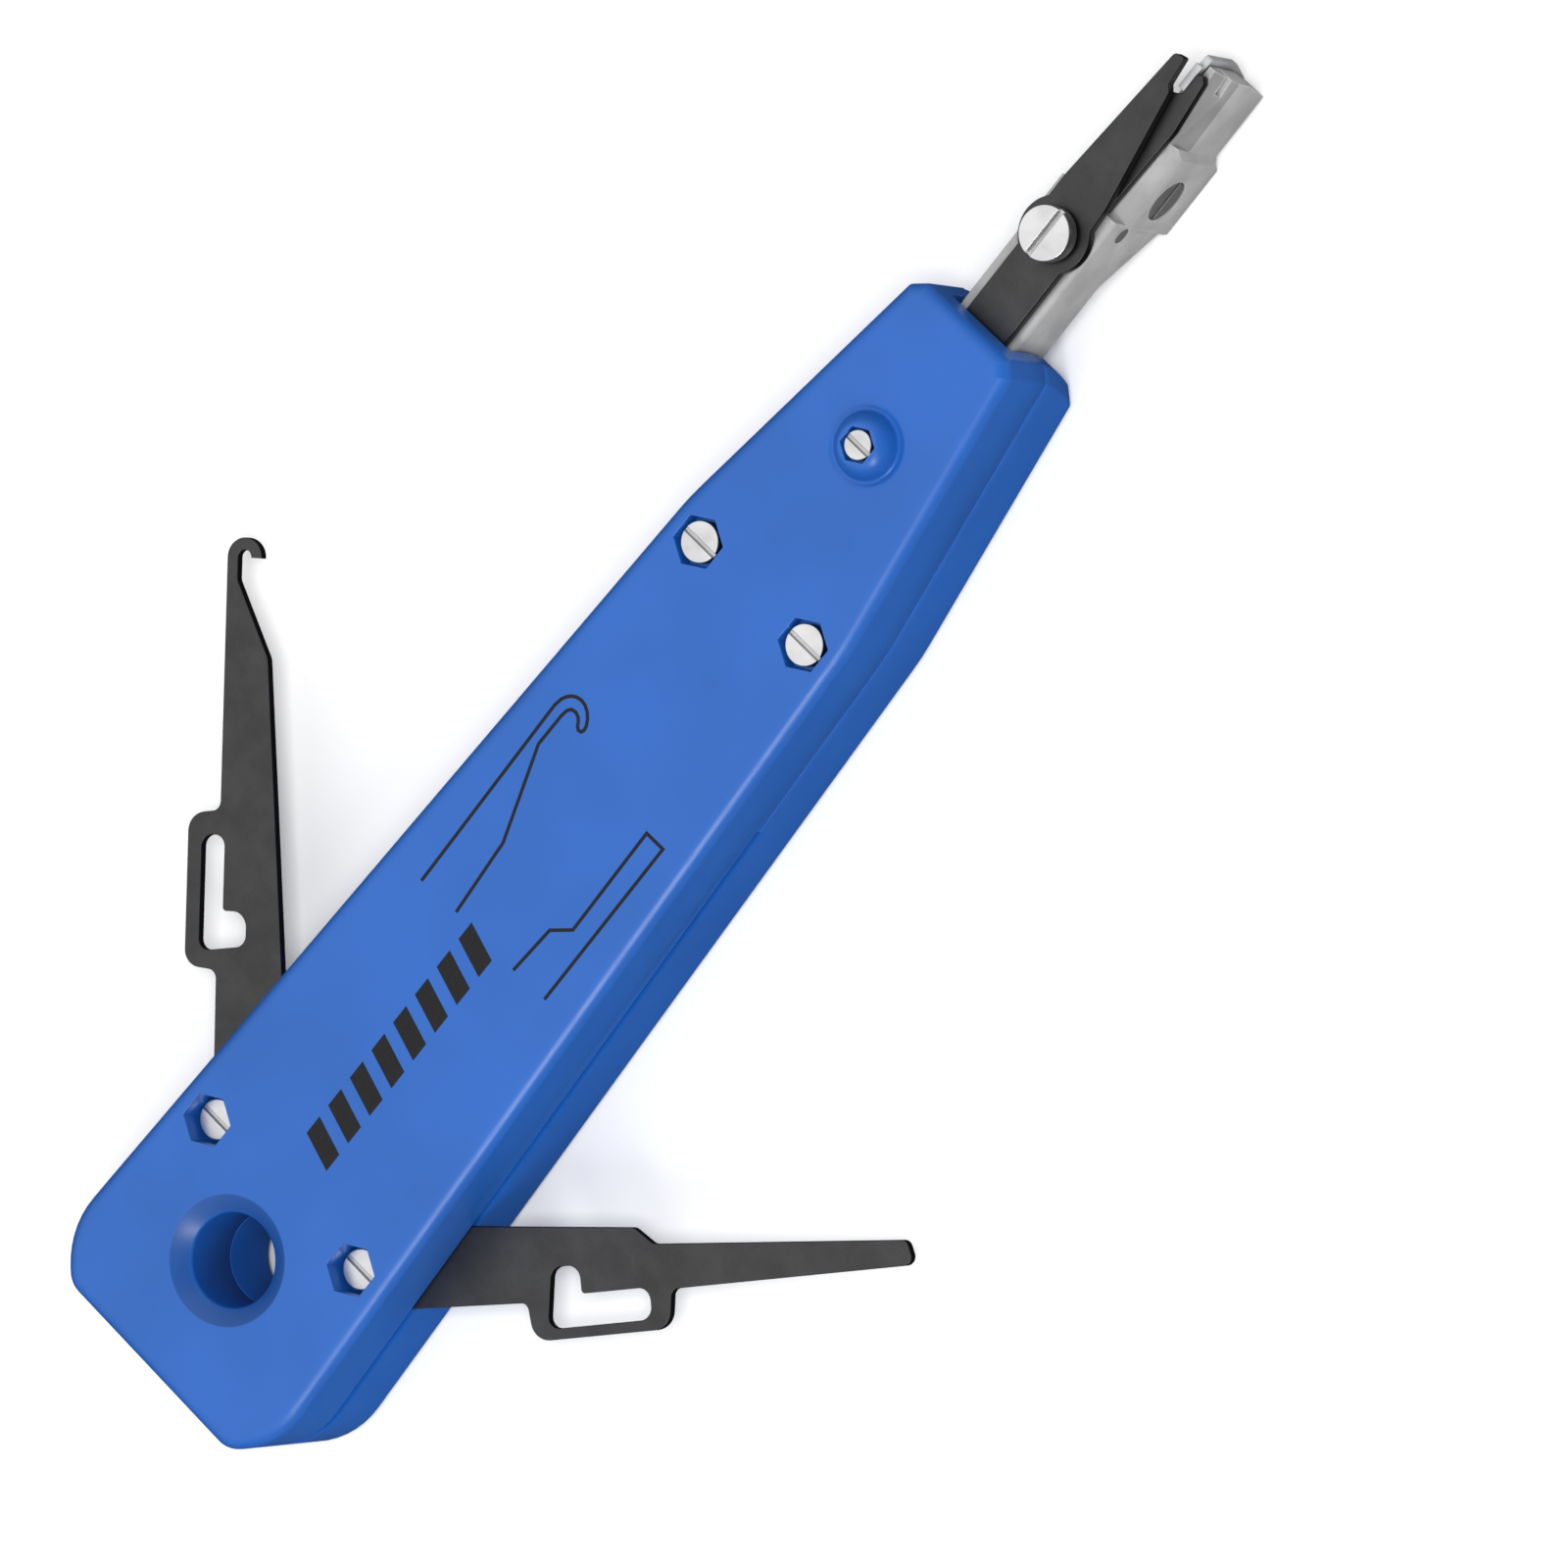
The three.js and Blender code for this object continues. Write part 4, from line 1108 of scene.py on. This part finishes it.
def cutter_lever():
    """The moving jaw, its round boss on the lever screw, and the arm with the cam slot."""
    boss = 3.85
    right_boss = arc(0, 0, boss, -38.8, 43.3, 16)
    left_boss = arc(0, 0, boss, 139.5, 232.4, 18)
    corners = [
        (-2.85, -31, 1.2), (4.6, -31, 1.2), (4.6, -16, 1), (3.0, -13.8, 1), *right_boss,
        (2.6, 5.4), (0.3, 18.0, 0.3), (-0.25, 18.6, 0.4), (-0.62, 21.5, 0.2), (-1.75, 21.25, 0.5),
        (-2.95, 5.0, 2), *left_boss, (-2.35, -12.6, 1), (-2.85, -14.2, 1),
    ]
    holes = [circle(0, 0, 1.65, 48), cam_slot_outline(1.7)]
    mesh = slab(outline(corners), LEVER_LOW.z, LEVER_HIGH.z, 0.09, holes)
    return at(mesh, 0, PIVOT_Y)


piece("cutter_lever_ground", cutter_lever(), "lever", BLACK_STEEL, "cutter_lever")

# ---------------------------------------- spring and its seat


def coil_spring(low, high, radius, wire, turns):
    """A compression spring along Y whose end turns lie closed."""
    mesh = bmesh.new()
    steps = turns * 28
    sides = 10
    closing = 0.9 * wire * 2.2 / (high - low)
    rings = []
    for k in range(steps + 1):
        share = k / steps
        eased = share - closing * math.sin(2 * math.pi * share)
        angle = 2 * math.pi * turns * share
        out = Vector((math.cos(angle), 0, math.sin(angle)))
        centre = out * radius
        centre.y = low + wire + (high - low - 2 * wire) * eased
        rings.append([])
        for j in range(sides):
            turn = 2 * math.pi * j / sides
            spoke = out * math.cos(turn) + Vector((0, 1, 0)) * math.sin(turn)
            rings[-1].append(mesh.verts.new(centre + spoke * wire))
    for first, second in zip(rings, rings[1:]):
        for i in range(sides):
            mesh.faces.new((first[i - 1], first[i], second[i], second[i - 1]))
    mesh.faces.new(rings[0])
    mesh.faces.new(rings[-1])
    bmesh.ops.recalc_face_normals(mesh, faces=mesh.faces)
    return mesh


wire = 0.35
spring_radius = (SPRING_HIGH.x - SPRING_LOW.x) / 2 - wire
spring_shape = coil_spring(SPRING_LOW.y, SPRING_HIGH.y, spring_radius, wire, turns=8)
at(spring_shape, 0, 0, SPRING_MID_Z)
spring = piece(
    "main_spring_coiled", spring_shape, "handle", SPRING_STEEL, "main_spring",
)
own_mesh(spring)

rod_low, rod_high = mm_box("spring_guide_rod")
rod = round_bar((rod_high.x - rod_low.x) / 2, rod_high.y - rod_low.y, 0.3)
rod_place = Matrix.Translation((0, rod_high.y, SPRING_MID_Z))
moved(rod, rod_place @ Matrix.Rotation(math.pi / 2, 4, "X"))
piece("spring_guide_rod_turned", rod, "head", BRIGHT_STEEL, "spring_guide_rod")

plate_low, plate_high = mm_box("spring_backing_plate")
plate_corner = 0.4
plate_outline = outline([
    (plate_low.z, plate_low.x, plate_corner), (plate_high.z, plate_low.x, plate_corner),
    (plate_high.z, plate_high.x, plate_corner), (plate_low.z, plate_high.x, plate_corner),
])
plate = slab(plate_outline, plate_low.y, plate_high.y, 0.08, [circle(SPRING_MID_Z, 0, 1.65, 48)])
moved(plate, TO_END)
piece(
    "spring_backing_plate_stamped", plate, "handle", BRIGHT_STEEL,
    "spring_backing_plate",
)

# ---------------------------------------- floor, lights and camera

FOCUS = Vector((11.64, 65.01, MID)) * MM
CAMERA = {
    "azimuth": 130.16, "elevation": 63.10, "roll": 88.59, "distance": 0.91986, "lens": 215.3,
}


def direction(azimuth, elevation):
    """The way from the object to a place seen at that azimuth and elevation."""
    a, e = math.radians(azimuth), math.radians(elevation)
    return Vector((math.sin(a) * math.cos(e), -math.cos(a) * math.cos(e), math.sin(e)))


def add_camera():
    data = bpy.data.cameras.new("camera")
    data.lens = CAMERA["lens"]
    data.sensor_width = 36
    data.clip_start = 0.05
    data.clip_end = 20
    made = bpy.data.objects.new("camera", data)
    bpy.context.scene.collection.objects.link(made)
    back = direction(CAMERA["azimuth"], CAMERA["elevation"])
    level = back.to_track_quat("Z", "Y").to_matrix()
    made.matrix_world = (
        Matrix.Translation(FOCUS + back * CAMERA["distance"])
        @ (level @ Matrix.Rotation(-math.radians(CAMERA["roll"]), 3, "Z")).to_4x4()
    )
    bpy.context.scene.camera = made


def add_softbox(name, azimuth, elevation, distance, size, power, mirrored=True):
    """A rectangular light that faces the object; without mirrored it leaves no highlight."""
    data = bpy.data.lights.new(name, "AREA")
    data.shape = "RECTANGLE"
    data.size, data.size_y = size
    data.energy = power
    made = bpy.data.objects.new(name, data)
    bpy.context.scene.collection.objects.link(made)
    away = direction(azimuth, elevation)
    made.location = FOCUS + away * distance
    made.rotation_euler = away.to_track_quat("Z", "Y").to_euler()
    made.visible_glossy = mirrored


def add_floor():
    data = bpy.data.meshes.new("floor")
    reach = 4.0
    corners = [(-reach, -reach, 0), (reach, -reach, 0), (reach, reach, 0), (-reach, reach, 0)]
    data.from_pydata(corners, [], [(0, 1, 2, 3)])
    made = bpy.data.objects.new("floor", data)
    data.materials.append(floor_paint())
    bpy.context.scene.collection.objects.link(made)
    made.visible_glossy = False


def add_world():
    """Soft light from all round, brighter overhead and dimmer beyond the handle's right side."""
    world = bpy.data.worlds.new("studio")
    world.use_nodes = True
    tree = world.node_tree
    way = add(tree, "ShaderNodeTexCoord").outputs["Generated"]
    up = add(tree, "ShaderNodeSeparateXYZ", {0: way}).outputs[2]
    bright = spread(tree, up, 0.03, 0.95, -0.05, 0.78)
    to_dim = tuple(direction(140, 40))
    toward = vector(tree, "DOT_PRODUCT", way, to_dim, "Value")
    dim = spread(tree, toward, 1.0, 0.35, 0.66, 0.9)
    background = tree.nodes["Background"]
    tree.links.new(combined(tree, "MULTIPLY", bright, dim), background.inputs["Strength"])
    background.inputs["Color"].default_value = (1, 1, 1, 1)
    bpy.context.scene.world = world


add_camera()
add_floor()
add_world()
add_softbox("key_softbox", 68, 39, 0.9, (0.14, 0.5), 2.3)
add_softbox("front_softbox", 130, 66, 1.4, (0.4, 0.4), 12.5, mirrored=False)
bpy.context.scene.view_settings.view_transform = "Standard"
